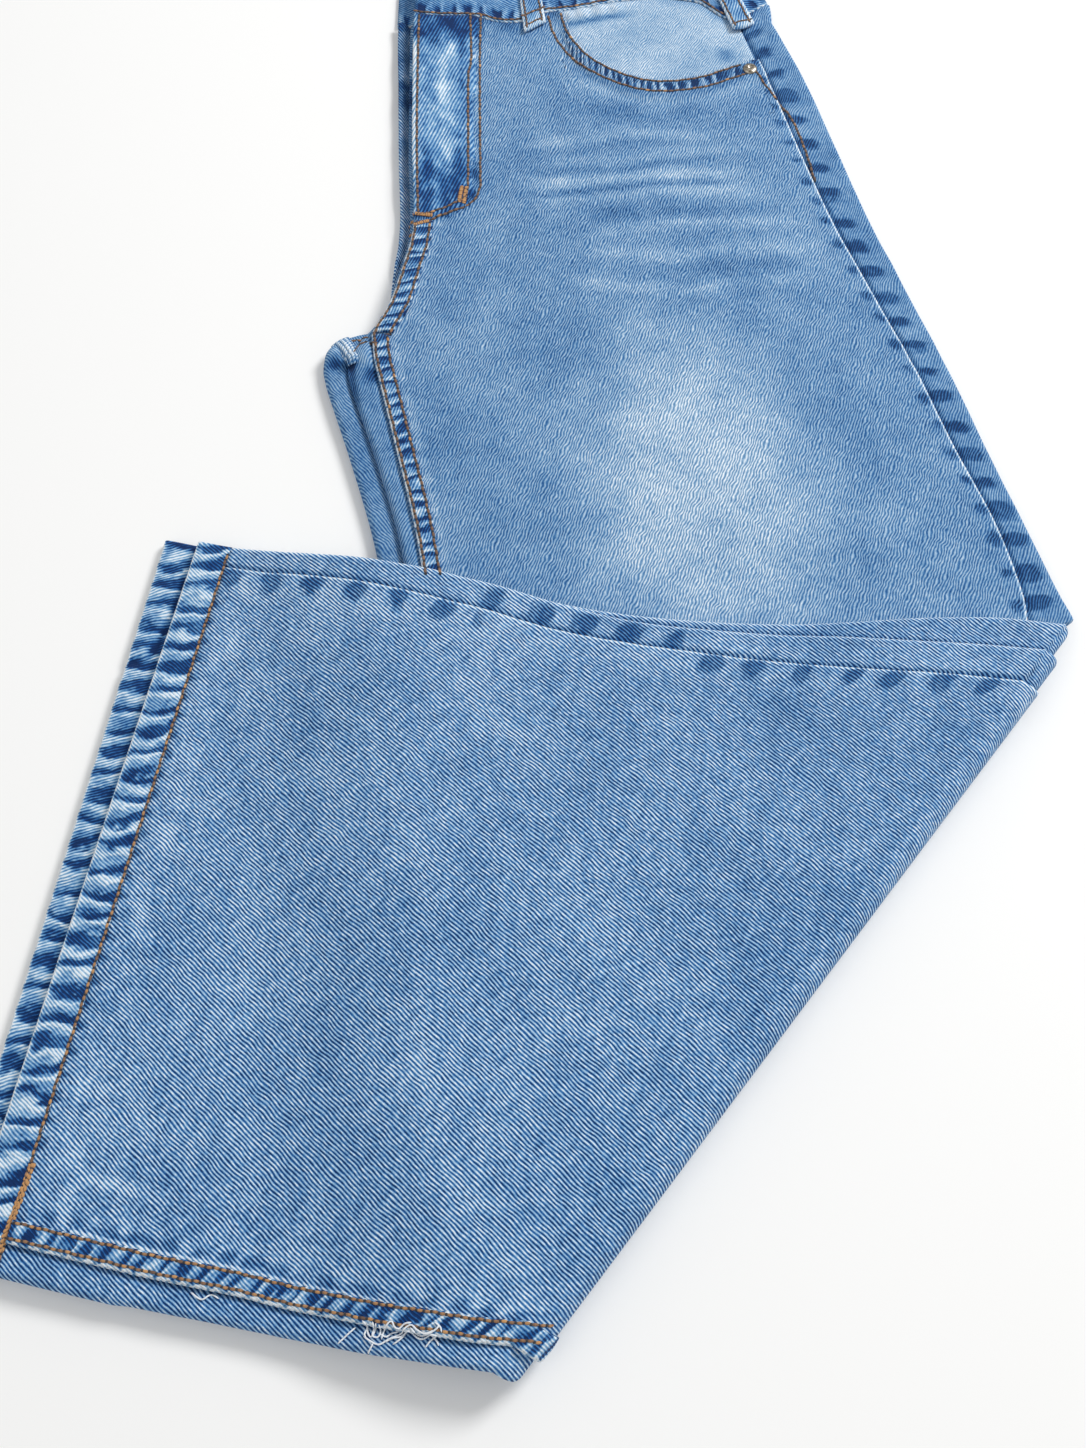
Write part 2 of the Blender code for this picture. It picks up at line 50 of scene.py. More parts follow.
# The camera looks 65 degrees below level, so it is tilted 25 degrees from straight down.
# It is 712 mm above the floor, which lies a little below the part.
PHOTO_LONG_SIDE = 1448
FOCAL_PIXELS = 1500
CAMERA_HEIGHT = 712.0
CAMERA_TILT = 25.0
SENSOR_WIDTH = 36.0
FLOOR_LEVEL = -0.0001

# Cloth and layers, as in the part's source. Depth is measured from the middle of the knee
# fold, so a layer has one depth on the upper leg and in the flap.
CLOTH = 1.3
GAP = 0.3
SIDE_GAP = 0.7
BACK_LAYER = 4.0
FOLD_AIR = 0.9
LEFT_FRONT_DEPTH = FOLD_AIR + CLOTH / 2
LEFT_BACK_LOW = FOLD_AIR + CLOTH + GAP
LEFT_BACK_HIGH = LEFT_BACK_LOW + BACK_LAYER
RIGHT_BACK_LOW = LEFT_BACK_HIGH + GAP
RIGHT_BACK_HIGH = RIGHT_BACK_LOW + BACK_LAYER
RIGHT_FRONT_DEPTH = RIGHT_BACK_HIGH + GAP + CLOTH / 2
FOLD_HEIGHT = RIGHT_FRONT_DEPTH + CLOTH / 2
FLAP_DROP = FOLD_HEIGHT + FOLD_AIR
DROP_LENGTH = 95.0
DROP_LINE_TOP = Vector((-82.0, 416.0))
DROP_LINE_FOOT = Vector((-26.0, 30.0))

# Stations across the upper leg, from the waist seam to the knee fold: the in and out seams,
# and how far each other layer reaches past them.
UPPER_COLUMNS = (
    "in_x", "in_y", "out_x", "out_y",
    "left_back_in", "right_back_in", "right_front_in",
    "left_back_out", "right_back_out", "right_front_out",
)
UPPER_STATIONS = (
    (-85, 846, 127, 838, -3, 3, 11, 24, 20, 1),
    (-85, 832, 132, 824, -3, 3, 11, 25, 21, 2),
    (-84, 790, 145, 784, -3, 3, 10, 25, 21, 6),
    (-82, 724, 161, 722, -3, 3, 9, 25, 21, 6),
    (-79, 664, 177, 664, -2, 3, 9, 24, 20, 6),
    (-84, 631, 188, 632, 0, 4, 6, 23, 19, 5),
    (-91, 600, 199, 600, 2, 3, 3, 22, 18, 5),
    (-97, 587, 204, 586, 2.5, 3.5, 3, 21.5, 17.5, 5),
    (-100.5, 577, 208.5, 574, 6, 20, 8, 21, 17, 5),
    (-99.5, 570, 211, 567, 9.5, 27, 10, 20.5, 17, 5),
    (-98.5, 561, 213.5, 559, 14, 30, 13, 20.5, 17, 5),
    (-95, 546, 218, 546, 17, 31, 17, 20, 17, 5),
    (-83, 497, 232, 498, 13, 27, 16, 19, 16, 4),
    (-71, 447, 248, 450, 10, 24, 14, 17, 14, 4),
    (-63, 402, 257, 408, 9, 22, 12, 20, 16, 4),
    (-50, 325, 258, 388, 9, 20, 9, 25, 18, 3),
    (-36, 230, 256, 375, 10, 17, 5, 30, 19, 2),
    (-22, 125, 253, 365, 10, 15, 2, 32, 20, 1),
    (-10, 35, 249, 356, 10, 13, 0, 31, 20, 0),
)
# Stations across the flap, from the knee fold to the right leg's hem stitch.
FLAP_COLUMNS = (
    "in_x", "in_y", "out_x", "out_y",
    "right_back_in", "left_back_in", "left_front_in",
    "right_back_out", "left_back_out", "left_front_out",
)
FLAP_STATIONS = (
    (-13, 29.5, 245.5, 345, 13, 10, 0, 25, 47, 0),
    (-30, 31, 214, 348, 12, 9, 0, 24.5, 47, 3),
    (-50, 34, 178, 350.5, 12, 9, 1, 23.5, 43, 8),
    (-70, 37, 144, 353, 12, 9, 2, 22.5, 36, 11),
    (-91, 41, 110, 356.5, 12, 9, 2, 19.5, 29.5, 12),
    (-112, 45, 75, 361.5, 12, 9, 2, 17, 25, 12),
    (-133, 50, 40, 367, 13, 9, 2, 16, 22.5, 11),
    (-154, 54, 5, 374.5, 13, 9, 2, 17.5, 21, 9),
    (-175, 58, -30, 386, 13, 10, 3, 18, 19, 8),
    (-184, 60, -48, 391, 14, 10, 3, 18, 18, 7),
    (-193, 62, -65, 396, 14, 10, 3, 18, 17, 6),
    (-202, 64, -85, 401, 14, 10, 3, 17, 16, 6),
    (-211, 66, -105, 406, 14, 10, 3, 16, 15, 5),
    (-220, 68, -128, 411, 14, 11, 3, 15, 15, 5),
    (-229, 70, -150, 415, 14, 11, 3, 15, 14, 5),
    (-238, 72, -172, 420, 14, 11, 3, 14, 14, 5),
)
CROTCH_STATION = 8
FIRST_STATION_STEP = 14.0
ROW_SPACING = 3.4
FOLD_ROWS = 16
HEM_WIDTH = 19.0
HEM_CLOTH = 2.2
LEFT_HEM_STEP_IN = 12.0
LEFT_HEM_STEP_OUT = 20.0

WAIST_SEAM = (
    (-85.0, 843.5), (-67.0, 841.5), (-44.0, 841), (-37.0, 839), (-30.0, 836), (-18.0, 835.5),
    (-11.0, 838), (3.0, 845.5), (13.0, 847), (22.0, 848.5), (46.4, 855), (74.0, 859),
    (101.6, 855.5), (122.8, 839.5), (127.0, 839.5), (129.3, 840.3), (155.0, 858),
)
POCKET_MOUTH = (
    (12.8, 847), (15.2, 833), (20.5, 819.5), (27, 809), (33.5, 801.5), (42, 795), (52, 788.5),
    (63, 784.3), (72, 782.6), (82, 782.3), (101, 785.8), (115, 791.8), (130, 798), (146, 802),
)
WAVE_SHARES = ((0, 1.0), (1, 1.0), (2, 0.6), (3, 0.25), (4, 0.0))
HIDDEN_TRIM = 2.5
FLY_FOOT_Y = 668.0
FLY_EDGE_X = -43.0
FLY_CORNER = 24.0
LIFT = CLOTH + GAP
FELL_WIDTH = 10.5
FELL_CLOTH = 1.1
RISE_FELL_WIDTH = 12.0

BAND_TOP = (
    (-97.0, 885), (-39.4, 883), (-27.8, 882), (12.5, 887), (60.0, 893), (101.6, 891),
    (127.0, 884), (155.0, 889),
)
BAND_CLOTH = 2.6
BAND_PITCH = 3.3
BAND_LEAN = 0.33
BAND_FLY_X = -85.0
BAND_UNDER_X = -97.0
BAND_BACK_X = -82.0
BAND_SIDE_X = 147.0

# The cloth's grain: which way its warp runs on the upper leg and on the flap.
UPPER_WARP = 99.5
FLAP_WARP = -13.0
TWILL_ANGLE = 30.0

# Worn streaks across the thigh: points of each, half its width and how much paler it is.
WHISKERS = (
    (((-14, 725), (28, 733), (52, 738), (76, 736), (128, 734)), 5.0, 0.13),
    (((-2, 712), (51, 714), (79, 721), (140, 724)), 4.6, 0.09),
    (((-8, 695), (42, 699), (66, 702), (126, 704)), 5.6, 0.17),
    (((-18, 680), (45, 685), (75, 690), (138, 687)), 5.0, 0.11),
    (((22, 651), (65, 662), (95, 665), (156, 664)), 4.6, 0.12),
    (((22, 640), (79, 637), (108, 643), (165, 644)), 6.0, 0.13),
    (((8, 622), (56, 613), (85, 610), (114, 617), (158, 622)), 4.4, 0.11),
    (((-14, 684), (45, 691.5), (75, 696), (124, 698)), 2.4, -0.17),
    (((-8, 704), (45, 706), (76, 713), (118, 718)), 3.0, -0.11),
    (((-14, 722), (29, 725), (55, 730), (90, 729)), 2.8, -0.10),
    (((14, 764), (62, 752), (110, 762)), 10.0, -0.08),
    (((20, 671), (60, 672), (140, 676)), 6.0, -0.08),
    (((70, 628), (110, 629), (150, 630)), 6.0, -0.10),
)
FLAP_VEINS = (
    (((-147, 76), (-140, 78.5), (-134, 85), (-129, 92)), 1.5, 0.22),
    (((-226, 120), (-214, 104), (-196, 98), (-170, 92)), 2.4, 0.16),
    (((-222, 150), (-208, 140), (-190, 144)), 2.0, 0.14),
    (((-205, 205), (-196, 214), (-186, 212)), 2.0, 0.12),
)
THIGH_FADE = {"x": 86.0, "y": 475.0, "half_width": 80.0, "half_length": 128.0, "lean": 0.14}

CAMERA_SPOT = Vector((0.0, 0.0, CAMERA_HEIGHT))


def smooth_step(share):
    share = min(max(share, 0.0), 1.0)
    return share * share * (3.0 - 2.0 * share)


def bell(distance):
    """1 in the middle, falling to nearly nothing at a distance of 2."""
    return math.exp(-distance * distance)


def cloud(x, y, size, seed):
    """Soft uneven noise over the plan, about -0.5 to 0.5, with blots of this size."""
    return noise.noise(Vector((x / size, y / size, seed)))


def read_curve(rows, x):
    """Height of a smooth line over x through these points, held level past its ends."""
    if x <= rows[0][0]:
        return float(rows[0][1])
    for number in range(len(rows) - 1):
        (x0, y0), (x1, y1) = rows[number], rows[number + 1]
        if x <= x1:
            slope = (y1 - y0) / (x1 - x0)
            ends = []
            for side in (-1, 1):
                other = number + side
                if 0 <= other < len(rows) - 1:
                    (xa, ya), (xb, yb) = rows[other], rows[other + 1]
                    next_slope = (yb - ya) / (xb - xa)
                    even = slope * next_slope > 0
                    ends.append(2 * slope * next_slope / (slope + next_slope) if even else 0.0)
                else:
                    ends.append(slope)
            share = (x - x0) / (x1 - x0)
            rest = 1.0 - share
            level = y0 * rest + y1 * share
            turn = rest * (ends[0] - slope) - share * (ends[1] - slope)
            return level + share * rest * (x1 - x0) * turn
    return float(rows[-1][1])


def window(value, low, high, edge):
    """1 between low and high, 0 outside them, soft over the edge's width."""
    return smooth_step((value - low) / edge + 0.5) * smooth_step((high - value) / edge + 0.5)


def roping(along, period, seed):
    """Uneven waves along a seam that has drawn up in the wash: 0 in a hollow, 1 on a ridge."""
    place = along / period + 0.45 * noise.noise(Vector((along / (period * 2.3), seed, 0.0)))
    wave = 0.5 + 0.5 * math.sin(2.0 * math.pi * place)
    strength = 0.75 + 0.5 * noise.noise(Vector((along / (period * 1.4), seed, 7.0)))
    return 0.5 + (wave - 0.5) * min(max(strength, 0.25), 1.0)


# Sections of the legs.

def bent_between(stations, number, share, key):
    """One value between two stations, on a smooth curve through their neighbours."""
    before = stations[max(number - 1, 0)][key]
    first = stations[number][key]
    second = stations[number + 1][key]
    after = stations[min(number + 2, len(stations) - 1)][key]
    value = 0.5 * (
        2 * first
        + (second - before) * share
        + (2 * before - 5 * first + 4 * second - after) * share ** 2
        + (3 * first - before - 3 * second + after) * share ** 3
    )
    if key[-2:] in ("_x", "_y"):
        return value
    return min(max(value, min(first, second)), max(first, second))


def make_stations(columns, rows):
    stations = []
    for row in rows:
        station = dict.fromkeys(UPPER_COLUMNS + FLAP_COLUMNS, 0.0)
        station.update(zip(columns, (float(value) for value in row)))
        stations.append(station)
    return stations


def make_section(stations, number, share, turn, rank, flap):
    section = {key: bent_between(stations, number, share, key) for key in stations[0]}
    section["in"] = Vector((section["in_x"], section["in_y"]))
    section["out"] = Vector((section["out_x"], section["out_y"]))
    section["turn"] = turn
    section["rank"] = rank
    section["flap"] = flap
    return section


def between_stations(stations, rank_start, flap):
    """Fine sections between stations, about a row spacing apart at the wider seam."""
    made = []
    for number in range(len(stations) - 1):
        first, second = stations[number], stations[number + 1]
        spans = []
        for side in ("in", "out"):
            step_x = second[side + "_x"] - first[side + "_x"]
            step_y = second[side + "_y"] - first[side + "_y"]
            spans.append(math.hypot(step_x, step_y))
        steps = max(1, round(max(spans) / ROW_SPACING))
        for step in range(steps):
            share = step / steps
            rank = rank_start + number + share
            turn = math.pi if flap else 0.0
            made.append(make_section(stations, number, share, turn, rank, flap))
    return made


def moved_along(station, before, step_in, step_out):
    """A station past the last one, moved on along both seams."""
    moved = dict(station)
    for side, step in (("in", step_in), ("out", step_out)):
        way_x = station[side + "_x"] - before[side + "_x"]
        way_y = station[side + "_y"] - before[side + "_y"]
        length = math.hypot(way_x, way_y)
        moved[side + "_x"] = station[side + "_x"] + way_x / length * step
        moved[side + "_y"] = station[side + "_y"] + way_y / length * step
    return moved


def all_sections(flap_stations):
    """Fine sections from the waist seam, round the knee fold, to the end of the flap."""
    upper_last = len(UPPER) - 1
    sections = between_stations(UPPER, 0, False)
    fold = [UPPER[-1], flap_stations[0]]
    for step in range(FOLD_ROWS):
        share = step / FOLD_ROWS
        sections.append(make_section(fold, 0, share, math.pi * share, upper_last, False))
    sections += between_stations(flap_stations, upper_last + 1, True)
    last = len(flap_stations) - 2
    end_rank = upper_last + 2 + last
    sections.append(make_section(flap_stations, last, 1.0, math.pi, end_rank, True))
    lengths = {"in": 0.0, "out": 0.0}
    before = sections[0]
    for section in sections:
        for side in lengths:
            lengths[side] += (section[side] - before[side]).length
            section["along_" + side] = lengths[side]
        before = section
    return sections


def fold_outward():
    """Level direction that points out of the knee fold."""
    fold = UPPER[-1]
    along = Vector((fold["out_x"] - fold["in_x"], fold["out_y"] - fold["in_y"])).normalized()
    return Vector((along.y, -along.x))


def flap_drop(place):
    """How far the flap has come down to the floor at a point of the plan."""
    along = (DROP_LINE_TOP - DROP_LINE_FOOT).normalized()
    offset = place - DROP_LINE_FOOT
    distance = along.x * offset.y - along.y * offset.x
    return FLAP_DROP * smooth_step(distance / DROP_LENGTH)


def seam_x(side, y):
    """Where the centre edge or the outseam of the upper leg lies at a height of the plan."""
    rows = [(station[side + "_y"], station[side + "_x"]) for station in UPPER[CROTCH_STATION::-1]]
    return read_curve(rows, y)


def width_of(section):
    return (section["out"] - section["in"]).length


def follow_waist(section, place, share, top_line):
    """Slide a point near the waist along the seams, so that the first row follows the
    top line."""
    first = UPPER[0]
    wave = read_curve(WAVE_SHARES, section["rank"])
    x, y = place
    for _ in range(3):
        top_share = (x - first["in_x"]) / (first["out_x"] - first["in_x"])
        straight = first["in_y"] + (first["out_y"] - first["in_y"]) * top_share
        y = place.y + wave * (top_line(x) - straight)
        left = seam_x("in", y)
        right = seam_x("out", y)
        x = left + (right - left) * share
    return Vector((x, y))


def base_place(section, across, top_line=None):
    """A place of the plan so far in from the in seam, before the fold's turn."""
    along = (section["out"] - section["in"]).normalized()
    place = section["in"] + along * across
    if top_line and section["rank"] < WAVE_SHARES[-1][0]:
        place = follow_waist(section, place, across / width_of(section), top_line)
    return place


def turned_point(section, place, depth):
    """That place at its depth of the stack, turned round the knee fold."""
    height = FOLD_HEIGHT - depth * math.cos(section["turn"])
    if section["flap"]:
        height -= flap_drop(place)
    place = place + FOLD_OUTWARD * (depth * math.sin(section["turn"]))
    return Vector((place.x, place.y, height))


def waist_top(x):
    return read_curve(WAIST_SEAM, x) - GAP


def hidden_top(x):
    return waist_top(x) - HIDDEN_TRIM


def pocket_top(x):
    if x < POCKET_MOUTH[0][0]:
        return waist_top(x)
    return min(waist_top(x), read_curve(POCKET_MOUTH, x))


def fly_edge(y):
    """The facing's free edge at a height of the plan, with its foot curved like a J."""
    corner_y = FLY_FOOT_Y + FLY_CORNER
    if y >= corner_y:
        return FLY_EDGE_X
    below = min((corner_y - y) / FLY_CORNER, 1.0)
    return FLY_EDGE_X - FLY_CORNER * (1.0 - math.sqrt(1.0 - below * below))


def inside_fly(x, y):
    """1 well inside the fly's outline, 0 outside, soft over its edge."""
    across = smooth_step((fly_edge(y) - x + 1.5) / 5.0)
    return across * smooth_step((y - FLY_FOOT_Y + 2.0) / 5.0)


def front_lift(place, rank):
    """The left front stands up over the fly facing and over the pocket facing."""
    over_fly = inside_fly(place.x, place.y)
    over_pocket = smooth_step((place.x - 4.0) / 14.0) * (1.0 - smooth_step((rank - 0.9) / 0.4))
    return LIFT * max(over_fly, over_pocket)


# Colour of the cloth. Its tone is 0 for raw indigo, 0.5 for the washed blue and 1 worn
# nearly white. Each point also has a seam mark: how many waves of roping along the seam it
# lies, how many millimetres from the seam's edge, and how strongly the roping shows there,
# below 0 where it has dark hollows alone.

SEAM_FAR = 60.0
NO_SEAM = (0.0, SEAM_FAR, 0.0)


def leg_tone(x, y, seed):
    """Washed denim away from any seam."""
    return 0.47 + 0.07 * cloud(x, y, 60, seed) + 0.07 * cloud(x, y, 22, seed + 3)


def streaks(x, y, lines):
    """What soft worn lines add to the tone."""
    tone = 0.0
    for points, half_width, strength in lines:
        ends = min(x - points[0][0], points[-1][0] - x)
        if ends > -12.0 and abs(y - read_curve(points, x)) < 3 * half_width:
            uneven = 1.0 + 0.8 * cloud(x, y, 22, 5.0)
            fall = bell((y - read_curve(points, x)) / half_width)
            tone += strength * uneven * fall * smooth_step((ends + 12.0) / 34.0)
    return tone


def near_line(x, y, points):
    """Distance from a line of straight lengths."""
    spot = Vector((x, y))
    nearest = 1e9
    for first, second in zip(points, points[1:]):
        start, way = Vector(first), Vector(second) - Vector(first)
        share = min(max((spot - start).dot(way) / way.length_squared, 0.0), 1.0)
        nearest = min(nearest, (spot - start - way * share).length)
    return nearest


def thigh_tone(x, y):
    """The faded thigh, with its whiskers."""
    fade = THIGH_FADE
    side = x - fade["x"] - fade["lean"] * (fade["y"] - y)
    reach = math.hypot(side / fade["half_width"], (y - fade["y"]) / fade["half_length"])
    reach += 0.12 * cloud(x, y, 34, 6.0)
    return 0.25 * (1.0 - smooth_step((reach - 0.3) / 0.9)) + streaks(x, y, WHISKERS)


def fly_tone(x, y):
    """The fly: dark at its ends and along its stitching, with a pale worn streak between."""
    top, foot = smooth_step((y - 806.0) / 26.0), 1.0 - smooth_step((y - 700.0) / 30.0)
    middle = (1.0 - top) * (1.0 - foot)
    ridge = roping(y, 8.5, 33.0)
    uneven = cloud(x * 1.6, y, 10, 11.0)
    tone = 0.31 + 0.16 * middle + 0.22 * middle * bell((x + 62.0) / 6.0) * (1.0 + 0.6 * uneven)
    tone += 0.50 * uneven * (1.0 - 0.4 * middle) + 0.12 * cloud(x, y, 22, 12.0)
    tone -= 0.20 * top + 0.12 * foot
    tone += 0.20 * (ridge - 0.35) * bell((x + 77.0) / 3.0)
    return tone - 0.12 * bell((x + 52.0) / 3.0) + 0.24 * (ridge - 0.4) * bell((x + 44.0) / 3.2)


def fly_blots(x, y):
    """How strongly dark blots show on the fly, in columns beside its stitching."""
    columns = 0.42 * bell((x + 73.5) / 3.0) + 0.42 * bell((x + 53.0) / 2.6)
    return columns * window(y, 690.0, 836.0, 20.0)


def mouth_distance(x, y):
    """Distance below the pocket's mouth, square to it."""
    slope = (read_curve(POCKET_MOUTH, x + 1.0) - read_curve(POCKET_MOUTH, x - 1.0)) / 2.0
    return (read_curve(POCKET_MOUTH, x) - y) / math.hypot(1.0, slope)


def left_front_tone(spot):
    x, y = spot["x"], spot["y"]
    tone = leg_tone(x, y, 1.0)
    mark = (spot["along_out"] / 20.0, spot["from_out"], -0.7 * bell((spot["from_out"] - 4) / 5.0))
    if spot["flap"]:
        return tone, mark
    tone += thigh_tone(x, y)
    tone += 0.18 * bell((spot["from_in"] - 13.5) / 3.0) * roping(spot["along_in"], 12.0, 9.0)
    inside = smooth_step((fly_edge(y) - x + 4.5) / 4.0) * smooth_step((y - FLY_FOOT_Y + 4) / 5.0)
    tone = tone * (1.0 - inside) + fly_tone(x, y) * inside
    below_waist = spot["rank"] * FIRST_STATION_STEP
    tone -= 0.18 * bell((below_waist - 5.0) / 6.0) * (0.7 + 1.4 * cloud(x, y, 9, 4.0))
    # Painted shadow: a thin dark line right under the waistband's edge.
    tone -= 0.22 * bell(below_waist / 2.2)
    if spot["from_in"] < 46.0:
        blots = fly_blots(x, y) * inside
        mark = (y / 12.0, spot["from_in"] * 0.42 if y > FLY_FOOT_Y else SEAM_FAR, -blots)
    if 8.0 < x < 150.0 and spot["rank"] < 2.2 and spot["from_out"] > 6.0:
        below = mouth_distance(x, y)
        arc = x + 0.9 * (847.0 - read_curve(POCKET_MOUTH, x))
        mark = (arc / 6.5, below, 0.85 * window(below, 2.2, 9.0, 2.5))
        tone -= 0.10 * bell((below - 12.0) / 2.5)
        tone += 0.10 * bell((below - 17.0) / 5.0)
    return tone, mark


def spots_above(x):
    """Where along the flap's outseam the roping lies above the seam instead of below."""
    return window(x, -36.0, 76.0, 16.0)


def under_fly_tone(x, y):
    """Dark blotches where the folded-under edge shows beside the fly."""
    return -0.26 * window(y, 764.0, 860.0, 20.0) * (0.9 + 2.6 * cloud(x * 0.6, y, 11, 24.0))


def right_front_tone(spot):
    x, y = spot["x"], spot["y"]
    tone = leg_tone(x, y, 21.0)
    if not spot["flap"] and spot["from_in"] < 0:
        return tone + under_fly_tone(x, y) + 0.2 * cloud(x, y, 14, 25.0), NO_SEAM
    strength = 1.15 * bell((spot["from_out"] - 5.5) / 7.0) * (1.0 - 0.75 * spots_above(x))
    mark = (spot["along_out"] / 24.0, spot["from_out"], -strength)
    tone += 0.07 * bell((spot["from_out"] - 9.0) / 7.0)
    if spot["flap"]:
        tone += streaks(x, y, FLAP_VEINS) - 0.06 * smooth_step((x - 50.0) / 90.0)
        tone += 0.07 * bell((spot["from_end"] - 15.0) / 8.0) * (0.6 + 3.0 * cloud(x, y, 8, 14.0))
        beside = bell((spot["from_in"] - 15.0) / 3.4)
        tone -= 0.20 * beside * (roping(spot["along_in"], 13.0, 5.0) + 2.0 * cloud(x, y, 7, 16.0))
        tone += 0.12 * bell((spot["from_in"] - 21.0) / 5.0) * (0.5 + 2.0 * cloud(x, y, 12, 17.0))
        if spot["from_end"] < 26.0 and spot["from_out"] > 16.0:
            strength = 0.9 * bell(spot["from_end"] / 4.0)
            mark = (spot["across"] / 11.0, SEAM_FAR, -strength)
        elif spot["from_in"] < SEAM_FAR:
            mark = (0.0, max(spot["from_in"] - 11.3, 0.0), 0.0)
    return tone, mark


CROTCH_FOLD = ((-112, 561), (-111, 553), (-110, 545), (-106, 528))
CROTCH_PUFFS = ((-122.5, 567.0, 5.5), (-103.5, 563.0, 6.5))
# Spots of painted shade in the gathered cloth's pits, which are also sunk there.
CROTCH_SHADES = ((-111.0, 556.5, 3.4), (-121.0, 560.0, 4.0), (-99.0, 549.0, 4.5))


def crotch_shape(x, y):
    """Height and tone of the gathered cloth where the inseams meet the rise. Its tone is painted
    light on the puffs and painted shade in the pits and along the fold.
    """
    if not (-136.0 < x < -88.0 and 515.0 < y < 588.0):
        return 0.0, 0.0
    height = sum(3.2 * bell(math.hypot(x - px, y - py) / size) for px, py, size in CROTCH_PUFFS)
    shade = sum(bell(math.hypot(x - px, y - py) / size) for px, py, size in CROTCH_SHADES)
    fold = bell(near_line(x, y, CROTCH_FOLD) / 1.8) * smooth_step((y - 522.0) / 20.0)
    height -= 1.5 * fold + 1.2 * shade
    # The tone is painted light and shade: lighter with height, darker in the pits and along the
    # fold line.
    return height, 0.05 * height - 0.26 * fold - 0.52 * shade


def strip_tone(spot, seed):
    """A back panel's rolled edge, where it shows past the front that is sewn to it, with painted
    shadow beside the edges that cover it.
    """
    x, y = spot["x"], spot["y"]
    tone = leg_tone(x, y, seed) - 0.03
    outside = -spot["from_out"]
    strength = 1.1 * bell((outside - 7.0) / 7.0)
    rim = SEAM_FAR
    if spot["flap"]:
        strength *= 0.12 + 0.85 * spots_above(x)
        rim = 0.3 + 0.36 * spot["from_rim"] if outside > 0 else SEAM_FAR
        # Painted shadow: a darker line beside the fell on the flap.
        tone -= 0.10 * bell((spot["from_in"] + 1.0) / 3.0)
        tone += 0.06 * bell((outside - 7.0) / 5.0)
    elif spot["from_in"] < 0:
        strength = 0.0
        # crotch_shape's tone is painted light on the puffs and painted shade in the pits and along
        # the fold.
        tone += under_fly_tone(x, y) + crotch_shape(x, y)[1]
    if outside > 0:
        # Painted shadow just past the edge of the piece that covers this strip.
        tone -= 0.26 * bell((spot["past_cover"] - 0.6) / 1.7)
    period = 24.0 if spot["flap"] else 20.0
    return tone, (spot["along_out"] / period, rim, -strength)


# Making pieces.

MERGE_DISTANCE = 0.00001
RAY_HEIGHT = 80.0


def plan_point(point):
    """A plan point in millimetres, placed in the part's frame."""
    return Vector((point.x - PLAN_CENTRE.x, point.y - PLAN_CENTRE.y, point.z)) * MM


def cloth_below(tree, place):
    """Where the cloth lies straight below a place of the plan, and which way it faces."""
    above = plan_point(Vector((place.x, place.y, RAY_HEIGHT)))
    spot, normal, _, _ = tree.ray_cast(above, Vector((0, 0, -1)))
    return spot, normal


def grain_way(degrees, side):
    """Weft and warp directions of the plan, for a warp that runs this way."""
    angle = math.radians(degrees)
    warp = Vector((math.cos(angle), math.sin(angle)))
    return Vector((warp.y, -warp.x)) * side, warp


def weave_pair(section, place, depth, side, flap_side=None):
    """The spot on the cut cloth, in metres, for the upper leg and for the flap. Past the
    fold each is carried on round the turn. side is 1 for the left leg and -1 for the right,
    and the other way about in the flap, unless it is given."""
    spots = []
    for warp, turned, facing in (
        (UPPER_WARP, section["turn"], side),
        (FLAP_WARP, math.pi - section["turn"], -side if flap_side is None else flap_side),
    ):
        flat = place + FOLD_OUTWARD * (depth * turned if turned > 0 else 0.0)
        weft_way, warp_way = grain_way(warp, facing)
        spots.append((flat.dot(weft_way) * MM, flat.dot(warp_way) * MM))
    return spots


def finish_piece(name, form, material, wall=0.0, second_material=None):
    """A bmesh in the part's frame becomes a named piece that rides on the body. Some faces
    take the second material, where there is one."""
    for face in form.faces:
        face.smooth = True
        if not second_material:
            face.material_index = 0
    bmesh.ops.recalc_face_normals(form, faces=form.faces)
    mesh = bpy.data.meshes.new(name)
    form.to_mesh(mesh)
    form.free()
    piece = bpy.data.objects.new(name, mesh)
    bpy.context.scene.collection.objects.link(piece)
    mesh.materials.append(material)
    if second_material:
        mesh.materials.append(second_material)
    if wall:
        cloth = piece.modifiers.new("cloth", "SOLIDIFY")
        cloth.thickness = wall * MM
        cloth.offset = 0.0
        cloth.use_even_offset = False
        cloth.use_rim = True
    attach(piece, "root")
    return piece


def cloth_form(columns, rows, place, closed=False, turn_row=None):
    """A grid of cloth. place(column, row) gives the point, its tone and seam mark, and the
    weave's spots, the second of which holds from turn_row on."""
    form = bmesh.new()
    bmesh.ops.create_grid(form, x_segments=columns, y_segments=rows, size=0.5)
    tone = form.verts.layers.float.new("tone")
    seam = form.verts.layers.float_vector.new("seam")
    weave = form.loops.layers.uv.new("weave")
    spots = {}
    for vertex in form.verts:
        column = round((vertex.co.x + 0.5) * columns)
        row = round((vertex.co.y + 0.5) * rows)
        point, (vertex[tone], vertex[seam]), spot = place(column, row)
        spots[vertex] = (row, spot)
        vertex.co = plan_point(point)
    for face in form.faces:
        first_row = min(spots[vertex][0] for vertex in face.verts)
        turned = 1 if turn_row is not None and first_row >= turn_row else 0
        face.material_index = turned
        for loop in face.loops:
            loop[weave].uv = spots[loop.vert][1][turned]
    if closed:
        bmesh.ops.remove_doubles(form, verts=form.verts, dist=MERGE_DISTANCE)
    return form


def fold_row(sections):
    """The row halfway round the knee fold."""
    return next(row for row, section in enumerate(sections) if section["turn"] >= math.pi / 2)


FRONT_COLUMNS = 88
EDGE_COLUMNS = 12
EDGE_SPAN = 20.0


